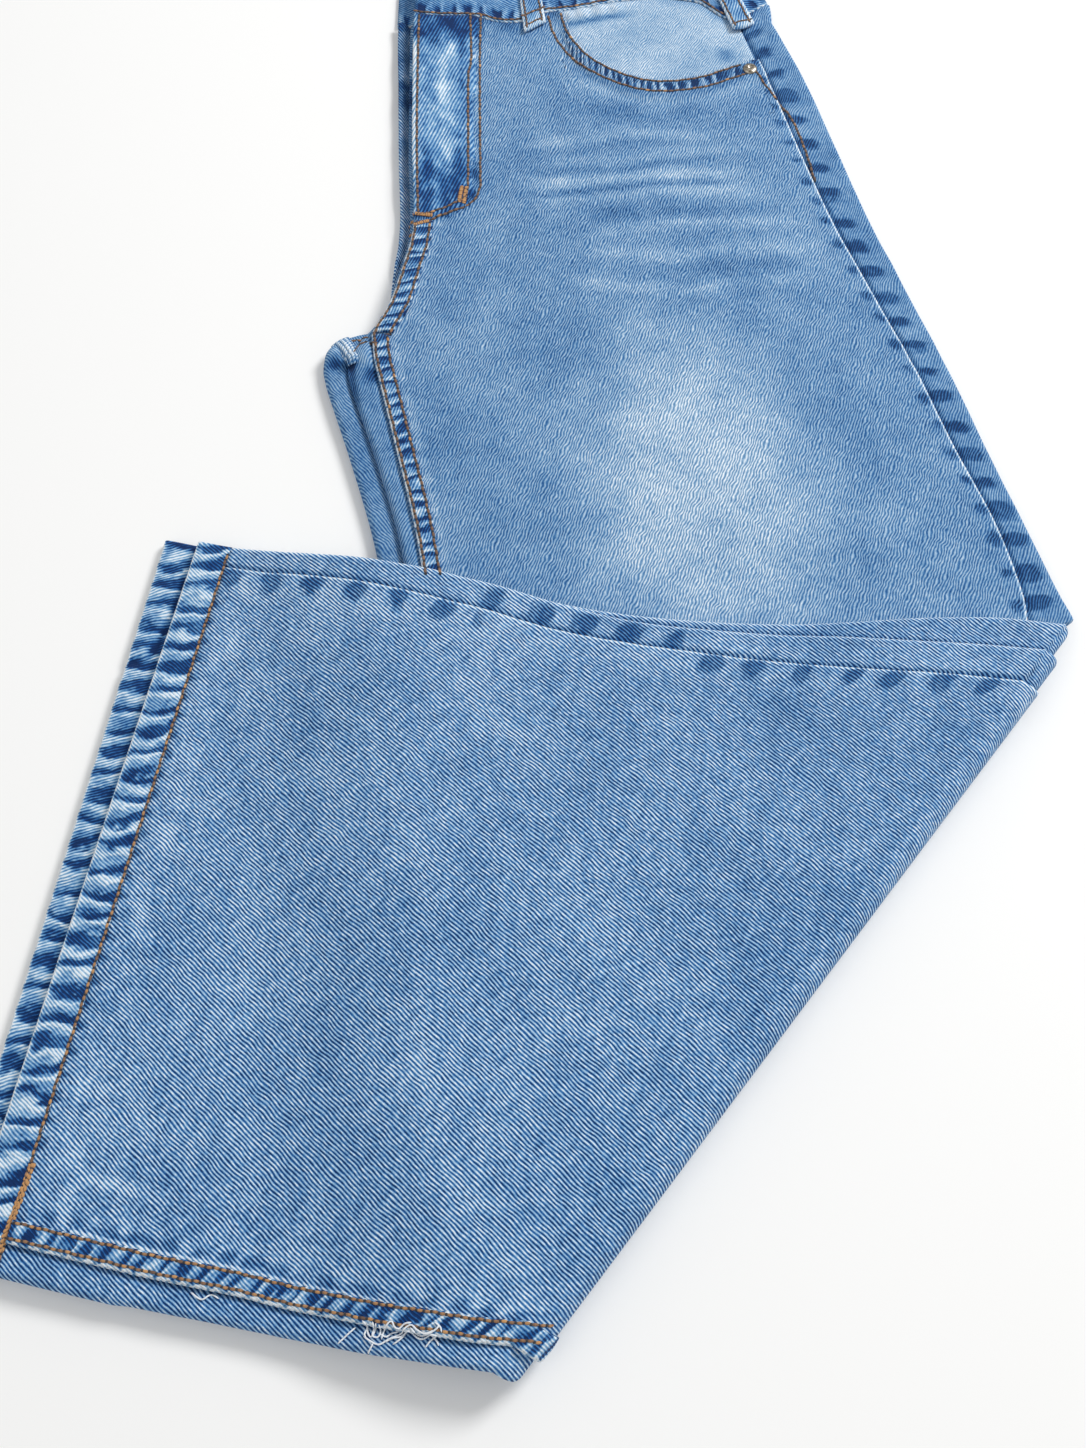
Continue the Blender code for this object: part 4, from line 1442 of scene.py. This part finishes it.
def add_node(tree, kind, settings=None, links=None):
    """Add a node, with its settings by name or socket number. What feeds it is a socket, or
    a node that stands for its first output."""
    node = tree.nodes.new(kind)
    for key, value in (settings or {}).items():
        if isinstance(key, int) or key in node.inputs:
            node.inputs[key].default_value = value
        else:
            setattr(node, key, value)
    for key, source in (links or {}).items():
        socket = source.outputs[0] if isinstance(source, bpy.types.Node) else source
        tree.links.new(socket, node.inputs[key])
    return node


def set_stops(ramp, colours):
    """Give a colour ramp its stops: (place, sRGB hex)."""
    stops = ramp.color_ramp.elements
    while len(stops) < len(colours):
        stops.new(0.5)
    for stop, (place, code) in zip(stops, colours):
        stop.position = place
        stop.color = hex_colour(code)


def new_material(name):
    material = bpy.data.materials.new(name)
    material.use_nodes = True
    tree = material.node_tree
    tree.nodes.clear()
    return material, tree


# Stone-washed cotton: raw indigo in the hollows, then the washed blue, then bare weft.
DENIM_STOPS = (
    (0.00, "#0A2C5C"), (0.16, "#184F8F"), (0.34, "#3873AE"), (0.50, "#6092BD"),
    (0.66, "#86AED1"), (0.82, "#AAC8E1"), (1.00, "#E6EFF6"),
)

THIGH_STOPS = (
    (0.00, "#0E2E58"), (0.16, "#1D4F88"), (0.34, "#3D70A4"), (0.50, "#658FB6"),
    (0.66, "#8BACCB"), (0.82, "#AEC6DC"), (1.00, "#E8EFF5"),
)


def denim_cloth(name, colours, pitch, contrast, wander_scale, swirl, grain, blot, relief):
    """Washed cotton denim, 3/1 right-hand twill. pitch is the distance between its diagonal
    lines in metres, drawn about twice as coarse as the real one so that it shows. swirl is
    how far the lines wander, in pitches, and wander_scale is how tightly. grain and blot are
    how uneven the single threads and the wash are."""
    material, tree = new_material(name)
    spot = add_node(tree, "ShaderNodeUVMap", {"uv_map": "weave"})
    tone = add_node(tree, "ShaderNodeAttribute", {"attribute_name": "tone"}).outputs["Fac"]
    turned = add_node(tree, "ShaderNodeMapping", {
        "vector_type": "POINT",
        "Rotation": (0.0, 0.0, math.radians(TWILL_ANGLE)),
    }, {"Vector": spot})
    # Slow wandering of the lines, as the cloth was pulled in sewing and washing.
    wander = add_node(tree, "ShaderNodeTexNoise", {
        "Scale": wander_scale, "Detail": 1.0, "Roughness": 0.5}, {"Vector": spot})
    across = add_node(tree, "ShaderNodeSeparateXYZ", {}, {"Vector": turned}).outputs["X"]
    lines = add_node(tree, "ShaderNodeMath", {
        "operation": "MULTIPLY", 1: 1.0 / pitch}, {0: across})
    bent = add_node(tree, "ShaderNodeMath", {
        "operation": "MULTIPLY_ADD", 1: swirl}, {0: wander, 2: lines})
    phase = add_node(tree, "ShaderNodeMath", {
        "operation": "MULTIPLY", 1: 2.0 * math.pi}, {0: bent})
    wave = add_node(tree, "ShaderNodeMath", {"operation": "SINE"}, {0: phase})
    # Single threads, longer along the twill line than across it.
    stretched = add_node(tree, "ShaderNodeMapping", {
        "vector_type": "POINT", "Scale": (1.0, 0.40, 1.0)}, {"Vector": turned})
    threads = add_node(tree, "ShaderNodeTexNoise", {
        "Scale": 1.4 / pitch, "Detail": 2.0, "Roughness": 0.65},
        {"Vector": stretched})
    blots = add_node(tree, "ShaderNodeTexNoise", {
        "Scale": 130.0, "Detail": 4.0, "Roughness": 0.6}, {"Vector": spot})
    lined = add_node(tree, "ShaderNodeMath", {
        "operation": "MULTIPLY_ADD", 1: contrast}, {0: wave, 2: tone})
    threads_even = add_node(tree, "ShaderNodeMath", {
        "operation": "SUBTRACT", 1: 0.5}, {0: threads})
    grained = add_node(tree, "ShaderNodeMath", {
        "operation": "MULTIPLY_ADD", 1: grain}, {0: threads_even, 2: lined})
    blots_even = add_node(tree, "ShaderNodeMath", {"operation": "SUBTRACT", 1: 0.5}, {0: blots})
    clouded = add_node(tree, "ShaderNodeMath", {
        "operation": "MULTIPLY_ADD", 1: blot}, {0: blots_even, 2: grained})
    # Roping: narrow pale ridges with dark hollows before them, uneven along the seam.
    seam = add_node(tree, "ShaderNodeAttribute", {"attribute_name": "seam"}).outputs["Vector"]
    mark = add_node(tree, "ShaderNodeSeparateXYZ", {}, {"Vector": seam})
    stretch = add_node(tree, "ShaderNodeMapping", {
        "vector_type": "POINT", "Scale": (1.0, 0.045, 0.0)}, {"Vector": seam})
    drift = add_node(tree, "ShaderNodeTexNoise", {
        "Scale": 0.9, "Detail": 3.0, "Roughness": 0.55}, {"Vector": stretch})
    sway = add_node(tree, "ShaderNodeMapRange", {
        "From Min": -0.2, "From Max": 0.2, "To Min": 0.8, "To Max": 2.0,
    }, {"Value": mark.outputs["Z"]})
    swayed = add_node(tree, "ShaderNodeMath", {"operation": "MULTIPLY"}, {0: drift, 1: sway})
    place = add_node(tree, "ShaderNodeMath", {
        "operation": "ADD"}, {0: swayed, 1: mark.outputs["X"]})
    near = add_node(tree, "ShaderNodeMath", {"operation": "PINGPONG", 1: 0.5}, {0: place})
    ridge = add_node(tree, "ShaderNodeMapRange", {
        "interpolation_type": "SMOOTHSTEP", "From Min": 0.22, "From Max": 0.0,
    }, {"Value": near})
    share = add_node(tree, "ShaderNodeMath", {"operation": "FRACT"}, {0: place})
    opening = add_node(tree, "ShaderNodeMapRange", {
        "interpolation_type": "SMOOTHSTEP", "From Min": 0.04, "From Max": 0.38,
    }, {"Value": share})
    closing = add_node(tree, "ShaderNodeMapRange", {
        "interpolation_type": "SMOOTHSTEP", "From Min": 0.84, "From Max": 0.38,
    }, {"Value": share})
    hollow = add_node(tree, "ShaderNodeMath", {"operation": "MULTIPLY"}, {0: opening, 1: closing})
    wave_number = add_node(tree, "ShaderNodeMath", {"operation": "FLOOR"}, {0: place})
    chance = add_node(tree, "ShaderNodeTexWhiteNoise", {
        "noise_dimensions": "1D"}, {"W": wave_number})
    depth = add_node(tree, "ShaderNodeMath", {
        "operation": "MULTIPLY_ADD", 1: -0.36, 2: -0.40}, {0: chance})
    size = add_node(tree, "ShaderNodeMath", {
        "operation": "MULTIPLY_ADD", 1: -0.6, 2: 1.25}, {0: chance})
    ridge_share = add_node(tree, "ShaderNodeMath", {
        "operation": "MAXIMUM", 1: 0.0}, {0: mark.outputs["Z"]})
    hollow_share = add_node(tree, "ShaderNodeMath", {
        "operation": "ABSOLUTE"}, {0: mark.outputs["Z"]})
    pale = add_node(tree, "ShaderNodeMath", {"operation": "MULTIPLY"}, {0: ridge, 1: ridge_share})
    shape = add_node(tree, "ShaderNodeMath", {
        "operation": "MULTIPLY"}, {0: hollow, 1: hollow_share})
    sized = add_node(tree, "ShaderNodeMath", {"operation": "MULTIPLY"}, {0: shape, 1: size})
    ragged = add_node(tree, "ShaderNodeMath", {
        "operation": "MULTIPLY_ADD", 1: 1.3}, {0: blots_even, 2: sized})
    rounded = add_node(tree, "ShaderNodeMapRange", {
        "interpolation_type": "SMOOTHSTEP", "From Min": 0.12, "From Max": 0.75,
    }, {"Value": ragged})
    # Dark hollows alone, along a plain seam, are fainter than those between ridges.
    faint = add_node(tree, "ShaderNodeMapRange", {
        "From Min": -0.2, "From Max": 0.2, "To Min": 0.66, "To Max": 1.0,
    }, {"Value": mark.outputs["Z"]})
    deepened = add_node(tree, "ShaderNodeMath", {"operation": "MULTIPLY"}, {0: depth, 1: faint})
    dark = add_node(tree, "ShaderNodeMath", {"operation": "MULTIPLY"}, {0: rounded, 1: deepened})
    waves = add_node(tree, "ShaderNodeMath", {
        "operation": "MULTIPLY_ADD", 1: 0.36}, {0: pale, 2: dark})
    roped = add_node(tree, "ShaderNodeMath", {"operation": "ADD"}, {0: waves, 1: clouded})
    # The seam's own edge is worn to bare weft.
    edge = add_node(tree, "ShaderNodeMapRange", {
        "interpolation_type": "SMOOTHSTEP", "From Min": 1.7, "From Max": 0.3,
    }, {"Value": mark.outputs["Y"]})
    total = add_node(tree, "ShaderNodeMath", {
        "operation": "MULTIPLY_ADD", 1: 0.42}, {0: edge, 2: roped})
    ramp = add_node(tree, "ShaderNodeValToRGB", {}, {"Fac": total})
    set_stops(ramp, colours)
    weave = add_node(tree, "ShaderNodeMath", {
        "operation": "MULTIPLY_ADD", 1: 0.25}, {0: wave, 2: threads})
    height = add_node(tree, "ShaderNodeMath", {
        "operation": "MULTIPLY_ADD", 1: 3.0}, {0: waves, 2: weave})
    bump = add_node(tree, "ShaderNodeBump", {
        "Strength": relief, "Distance": 0.0004}, {"Height": height})
    shader = add_node(tree, "ShaderNodeBsdfPrincipled", {
        "Roughness": 0.92, "Specular IOR Level": 0.15,
        "Sheen Weight": 0.05, "Sheen Roughness": 0.6,
    }, {"Base Color": ramp, "Normal": bump})
    add_node(tree, "ShaderNodeOutputMaterial", {}, {"Surface": shader})
    return material


def cotton_thread(name):
    """Core-spun cotton thread, golden where it was rubbed, and dark with painted shade at each
    stitch's ends and in the gaps where it sinks into the cloth.
    """
    material, tree = new_material(name)
    wear_and_shade = add_node(tree, "ShaderNodeAttribute", {"attribute_name": "wear_and_shade"}).outputs["Fac"]
    place = add_node(tree, "ShaderNodeTexCoord").outputs["Object"]
    fibres = add_node(tree, "ShaderNodeTexNoise", {
        "Scale": 900.0, "Detail": 2.0}, {"Vector": place})
    mixed = add_node(tree, "ShaderNodeMath", {
        "operation": "MULTIPLY_ADD", 1: 0.3}, {0: fibres, 2: wear_and_shade})
    ramp = add_node(tree, "ShaderNodeValToRGB", {}, {"Fac": mixed})
    set_stops(ramp, ((0.2, "#2C2A2D"), (0.72, "#7A5A44"), (1.0, "#C08F5A")))
    shader = add_node(tree, "ShaderNodeBsdfPrincipled", {
        "Roughness": 0.75, "Sheen Weight": 0.2,
    }, {"Base Color": ramp})
    add_node(tree, "ShaderNodeOutputMaterial", {}, {"Surface": shader})
    return material


def bare_cotton(name):
    """Undyed cotton weft, pulled loose."""
    material, tree = new_material(name)
    shader = add_node(tree, "ShaderNodeBsdfPrincipled", {
        "Base Color": hex_colour("#E8EDF2"), "Roughness": 0.9, "Sheen Weight": 0.1})
    add_node(tree, "ShaderNodeOutputMaterial", {}, {"Surface": shader})
    return material


def aged_metal(name, colour, shade):
    """Zinc-alloy jeans hardware, plated and worn: blotched between a dark and a pale colour."""
    material, tree = new_material(name)
    place = add_node(tree, "ShaderNodeTexCoord").outputs["Object"]
    wear = add_node(tree, "ShaderNodeTexNoise", {
        "Scale": 600.0, "Detail": 5.0, "Roughness": 0.6}, {"Vector": place})
    ramp = add_node(tree, "ShaderNodeValToRGB", {}, {"Fac": wear})
    set_stops(ramp, ((0.35, shade), (0.65, colour)))
    bump = add_node(tree, "ShaderNodeBump", {
        "Strength": 0.15, "Distance": 0.0002}, {"Height": wear})
    shader = add_node(tree, "ShaderNodeBsdfPrincipled", {
        "Metallic": 1.0, "Roughness": 0.38,
    }, {"Base Color": ramp, "Normal": bump})
    add_node(tree, "ShaderNodeOutputMaterial", {}, {"Surface": shader})
    return material


def plain_paper(name, code):
    """Matt white backdrop paper."""
    material, tree = new_material(name)
    shader = add_node(tree, "ShaderNodeBsdfPrincipled", {
        "Base Color": hex_colour(code), "Roughness": 0.95, "Specular IOR Level": 0.1})
    add_node(tree, "ShaderNodeOutputMaterial", {}, {"Surface": shader})
    return material


# Studio.

def make_camera():
    lens = bpy.data.cameras.new("camera")
    lens.sensor_width = SENSOR_WIDTH
    lens.lens = SENSOR_WIDTH * FOCAL_PIXELS / PHOTO_LONG_SIDE
    lens.clip_start = 0.01
    camera = bpy.data.objects.new("camera", lens)
    camera.location = plan_point(CAMERA_SPOT)
    camera.rotation_euler = (math.radians(CAMERA_TILT), 0.0, 0.0)
    bpy.context.scene.collection.objects.link(camera)
    bpy.context.scene.camera = camera


def area_light(name, place, target, size, power):
    data = bpy.data.lights.new(name, "AREA")
    data.shape = "DISK"
    data.size = size
    data.energy = power
    light = bpy.data.objects.new(name, data)
    light.location = Vector(place)
    way = Vector(target) - Vector(place)
    light.rotation_euler = way.to_track_quat("-Z", "Y").to_euler()
    bpy.context.scene.collection.objects.link(light)


def make_studio():
    form = bmesh.new()
    bmesh.ops.create_grid(form, x_segments=1, y_segments=1, size=4.0)
    bmesh.ops.translate(form, verts=form.verts, vec=(0.0, 0.0, FLOOR_LEVEL))
    mesh = bpy.data.meshes.new("floor")
    form.to_mesh(mesh)
    form.free()
    floor = bpy.data.objects.new("floor", mesh)
    mesh.materials.append(plain_paper("white_backdrop_paper", "#F7F7F6"))
    bpy.context.scene.collection.objects.link(floor)
    area_light("key", (1.7, 1.2, 1.9), (0.0, 0.0, 0.0), 1.0, 58.0)
    area_light("fill", (-1.2, -1.0, 2.4), (0.0, 0.0, 0.0), 2.0, 10.5)
    world = bpy.data.worlds.new("studio")
    world.use_nodes = True
    world.node_tree.nodes["Background"].inputs["Color"].default_value = (1.0, 1.0, 1.0, 1.0)
    world.node_tree.nodes["Background"].inputs["Strength"].default_value = 0.50
    bpy.context.scene.world = world
    bpy.context.scene.view_settings.view_transform = "Standard"


# Building.

make_camera()
make_studio()

UPPER = make_stations(UPPER_COLUMNS, UPPER_STATIONS)
FLAP = make_stations(FLAP_COLUMNS, FLAP_STATIONS)
LEFT_FLAP = FLAP + [moved_along(FLAP[-1], FLAP[-2], LEFT_HEM_STEP_IN, LEFT_HEM_STEP_OUT)]
FOLD_OUTWARD = fold_outward()
RIGHT_SECTIONS = all_sections(FLAP)
LEFT_SECTIONS = all_sections(LEFT_FLAP)

THIGH_DENIM = denim_cloth(
    "washed_denim_thigh", THIGH_STOPS, pitch=0.0016, contrast=0.24, wander_scale=150.0,
    swirl=2.3, grain=0.70, blot=0.30, relief=0.6)
LEG_DENIM = denim_cloth(
    "washed_denim_lower_leg", DENIM_STOPS, pitch=0.00165, contrast=0.42, wander_scale=80.0,
    swirl=1.4, grain=0.95, blot=0.46, relief=0.8)
FLY_DENIM = denim_cloth(
    "washed_denim_fly", DENIM_STOPS, pitch=0.0021, contrast=0.26, wander_scale=60.0,
    swirl=0.8, grain=0.80, blot=0.40, relief=0.7)
STRIP_DENIM = denim_cloth(
    "washed_denim_edge", THIGH_STOPS, pitch=0.0015, contrast=0.22, wander_scale=70.0,
    swirl=3.2, grain=0.60, blot=0.40, relief=0.6)
SEAM_DENIM = denim_cloth(
    "roped_denim_seam", DENIM_STOPS, pitch=0.0016, contrast=0.26, wander_scale=90.0,
    swirl=1.6, grain=0.66, blot=0.40, relief=0.8)
PALE_DENIM = denim_cloth(
    "worn_denim_facing", THIGH_STOPS, pitch=0.0014, contrast=0.20, wander_scale=130.0,
    swirl=2.4, grain=0.60, blot=0.26, relief=0.5)
THREAD = cotton_thread("golden_cotton_thread")
METAL = aged_metal("aged_nickel_plate", "#C9C2B4", "#6E6354")

left_front = front_panel(
    "left_front", LEFT_SECTIONS, LEFT_FRONT_DEPTH, pocket_top, left_front_relief, 1,
    left_front_tone, THIGH_DENIM, FLY_DENIM)
right_front = front_panel(
    "right_front", RIGHT_SECTIONS, RIGHT_FRONT_DEPTH, waist_top, right_front_relief, -1,
    right_front_tone, LEG_DENIM)
left_back = back_panel(
    "left_back", ("left_front", "right_back"), LEFT_BACK_LOW, LEFT_BACK_HIGH, LEFT_SECTIONS,
    waist_top, 1, 61.0, (STRIP_DENIM, LEG_DENIM))
right_back = back_panel(
    "right_back", ("left_back", "right_front"), RIGHT_BACK_LOW, RIGHT_BACK_HIGH,
    RIGHT_SECTIONS, hidden_top, -1, 62.0, (STRIP_DENIM, LEG_DENIM))

right_hem = leg_hem(
    "right_hem", "right_back", RIGHT_BACK_LOW, RIGHT_FRONT_DEPTH + CLOTH / 2, FLAP,
    -1, 71.0, 0.0, SEAM_DENIM)
left_hem = leg_hem(
    "left_hem", "left_back", FOLD_AIR, LEFT_BACK_HIGH, LEFT_FLAP, 1, 72.0, 0.06, SEAM_DENIM)

ABOVE_LEFT_FRONT = LEFT_FRONT_DEPTH - (CLOTH + FELL_CLOTH) / 2 - GAP
ABOVE_RIGHT_FRONT = RIGHT_FRONT_DEPTH + (CLOTH + FELL_CLOTH) / 2 + GAP
upper_rows = [s for s in LEFT_SECTIONS if s["turn"] == 0]
rise_rows = [s for s in upper_rows if 4.0 <= s["rank"] <= CROTCH_STATION - 0.05]
inseam_rows = [s for s in upper_rows if CROTCH_STATION <= s["rank"] <= len(UPPER) - 1.1]
open_rows = [s for s in inseam_rows if s["rank"] <= CROTCH_STATION + 5.95]
flap_rows = RIGHT_SECTIONS[fold_row(RIGHT_SECTIONS):]
rise_fell = seam_fell(
    "rise_fell", rise_rows, RISE_FELL_WIDTH, ABOVE_LEFT_FRONT, left_front_relief, 1, 81.0,
    "rise_fell_cloth", SEAM_DENIM)
left_fell = seam_fell(
    "left_inseam_fell", inseam_rows, FELL_WIDTH, ABOVE_LEFT_FRONT, left_front_relief, 1,
    82.0, "left_inseam_fell_cloth", SEAM_DENIM)
right_fell = seam_fell(
    "right_inseam_fell", flap_rows, FELL_WIDTH, ABOVE_RIGHT_FRONT, right_front_relief, -1,
    83.0, "right_inseam_fell_cloth", SEAM_DENIM)

band = waistband(SEAM_DENIM)
front_loop = belt_loop("front_belt_loop", FRONT_LOOP_X, SEAM_DENIM)
side_loop = belt_loop("side_belt_loop", SIDE_LOOP_X, SEAM_DENIM)
facing = fly_facing(THIGH_DENIM)
pocket = pocket_facing(PALE_DENIM)
button = turned_metal("button", BUTTON_SPOT, BUTTON_PROFILE, METAL)
rivet = turned_metal("rivet", RIVET_SPOT, RIVET_PROFILE, METAL)


def seam_line(sections, across, every=5):
    """Plan points along a strip, so far in from the in seam."""
    line = []
    for row in list(range(0, len(sections) - 1, every)) + [len(sections) - 1]:
        line.append(tuple(base_place(sections[row], across_for(sections, row, across))))
    return line


def across_line(section, start, end, steps=24):
    """Plan points across a section, from so far past the in seam to so far past the out."""
    width = width_of(section)
    line = []
    for step in range(steps + 1):
        line.append(tuple(base_place(section, start + (width + end - start) * step / steps)))
    return line


def offset_line(points, offset):
    """A line moved sideways, to its left."""
    moved = []
    for number, point in enumerate(points):
        before = Vector(points[max(number - 1, 0)])
        after = Vector(points[min(number + 1, len(points) - 1)])
        way = (after - before).normalized()
        moved.append(tuple(Vector(point) + Vector((-way.y, way.x)) * offset))
    return moved


cloth = cloth_tree([
    left_front, right_front, left_back, right_back, right_hem, left_hem, rise_fell,
    left_fell, right_fell, band, front_loop, side_loop, pocket])

J_OUTER = ((-41, 842), (-41, 802), (-40, 749), (-39, 707), (-39, 692), (-43, 681),
           (-51, 674.5), (-60, 670), (-69, 666), (-77, 664))
J_INNER = ((-48, 842), (-46.5, 802), (-48, 784), (-47, 732), (-46.5, 691), (-49, 682),
           (-56, 677), (-63, 673), (-70, 670.5), (-78, 669))
FLY_LINE = ((-81.7, 843), (-81.0, 802), (-79.8, 749), (-78.2, 707), (-76.4, 672))
HEM_BACKSTITCH = ((-231.5, 106), (-233.5, 97), (-235.7, 88), (-238, 79), (-240.5, 68))
SIDE_TACK = ((135, 792), (148, 767), (157, 748), (163, 724), (167.5, 698))
mouth = [(x, pocket_top(x)) for x in (13.5, 16, 21, 31, 45, 63, 80, 101, 115, 128)]

band_foot_row = [(x, band_foot(x) + 2.2) for x in range(-84, 122, 6)]
band_top_row = [(x, read_curve(BAND_TOP, x) - 3.0) for x in range(-84, 112, 6)]
upper_lines = plain_rows(
    J_OUTER, J_INNER, FLY_LINE, offset_line(mouth, -1.6), offset_line(mouth, -10.0),
    offset_line(SIDE_TACK, 1.2), seam_line(rise_rows, 1.8), seam_line(rise_rows, 10.4),
    seam_line(open_rows, 2.0), seam_line(open_rows, 9.4), band_foot_row, band_top_row,
    ((-98, 571), (-103, 572.3), (-107.5, 570.5), (-109.5, 566), (-109.5, 561)),
    ((-104, 577), (-109, 577.5), (-114, 576.5)), ((-118, 577), (-121.5, 576), (-124, 573)),
    size=1.15)
for left in (FRONT_LOOP_X, SIDE_LOOP_X):
    for inset in LOOP_STITCH_INSETS:
        side_points = [band_point(left + inset, share, 0) for share in (-0.2, 0, 0.3, 0.6, 0.94)]
        upper_lines += plain_rows([(point.x, point.y) for point in side_points])
    foot_points = [band_point(left + inset, -0.17, 0) for inset in LOOP_STITCH_INSETS]
    upper_lines += plain_rows([(point.x, point.y) for point in foot_points])
upper_lines += bar_rows((-48.5, 691), (-50, 679), 1.5, 12)
upper_lines += bar_rows((-82, 671.5), (-68, 670), 1.2, 14)
upper_lines += bar_rows((-82, 660.5), (-69, 665), 1.0, 12)

shown_fell = [section for section in flap_rows if section["turn"] == math.pi]
flap_lines = []
for inset in (2.6, 9.4):
    line = seam_line(shown_fell, inset)
    start = Vector(line[0]) + (Vector(line[0]) - Vector(line[1])).normalized() * 9.0
    flap_lines += plain_rows([tuple(start)] + line)
hem_pair = [moved_along(FLAP[-1], FLAP[-2], step, step) for step in (0.0, HEM_WIDTH)]
hem_start = make_section(hem_pair, 0, 0.08, math.pi, HEM_RANK, True)
flap_lines += plain_rows(across_line(hem_start, -6.0, 8.0))
for step in range(5):
    flap_lines.append((offset_line(HEM_BACKSTITCH, 0.5 * (step - 2)), 0.8 + 0.05 * step, 0.8, 0.9))

FRAYS = (
    ((-77, 34), (-74, 32), (-70, 30.5), (-66, 32.5), (-61, 34.5), (-58.5, 37), (-56, 38),
     (-53.5, 36), (-50, 34.5), (-46, 36)),
    ((-77.5, 40), (-75.5, 37.5), (-76.5, 34.5), (-75, 32.5)),
    ((-73, 39.5), (-72.5, 37), (-73, 34), (-70.5, 33.5), (-69.5, 36), (-70.5, 39)),
    ((-75.5, 38.5), (-75, 35), (-73.5, 33.5), (-72, 36), (-71.5, 39)),
    ((-69, 32.5), (-68, 36), (-66, 39), (-64.5, 39.5), (-63.5, 37.5), (-61.5, 36.5),
     (-59, 38.5), (-56, 39)),
    ((-67.5, 31.5), (-64, 33), (-60.5, 33.5), (-58, 35.5), (-56, 35), (-53.5, 33), (-51, 32.5),
     (-48, 34), (-44.5, 33.5)),
    ((-64, 30.5), (-61.5, 32), (-58.5, 34.5)),
    ((-56.5, 37), (-53, 34), (-48.5, 34.5), (-44.5, 37), (-45, 38.5), (-46.5, 39)),
    ((-46, 39), (-43.5, 37), (-43, 34.5)),
    ((-50, 29), (-47.5, 32), (-44.5, 34)),
    ((-47.5, 34), (-45, 31.5), (-44, 29)),
    ((-72.5, 31), (-74, 28.5), (-75.5, 26)),
    ((-70, 35), (-67, 33.5), (-64.5, 35), (-61.5, 35.5)),
    ((-154, 52), (-149, 49), (-145, 51), (-141, 49)),
    ((-88, 31), (-84, 34.5), (-80.5, 37.5)),
)
sew("upper_topstitching", cloth, upper_lines, 0.52, THREAD)
sew("flap_topstitching", cloth, flap_lines, 0.72, THREAD)

gathers = gathered_end(cloth, STRIP_DENIM)
lay_strands("frayed_weft", cloth, FRAYS, bare_cotton("bare_weft_cotton"))
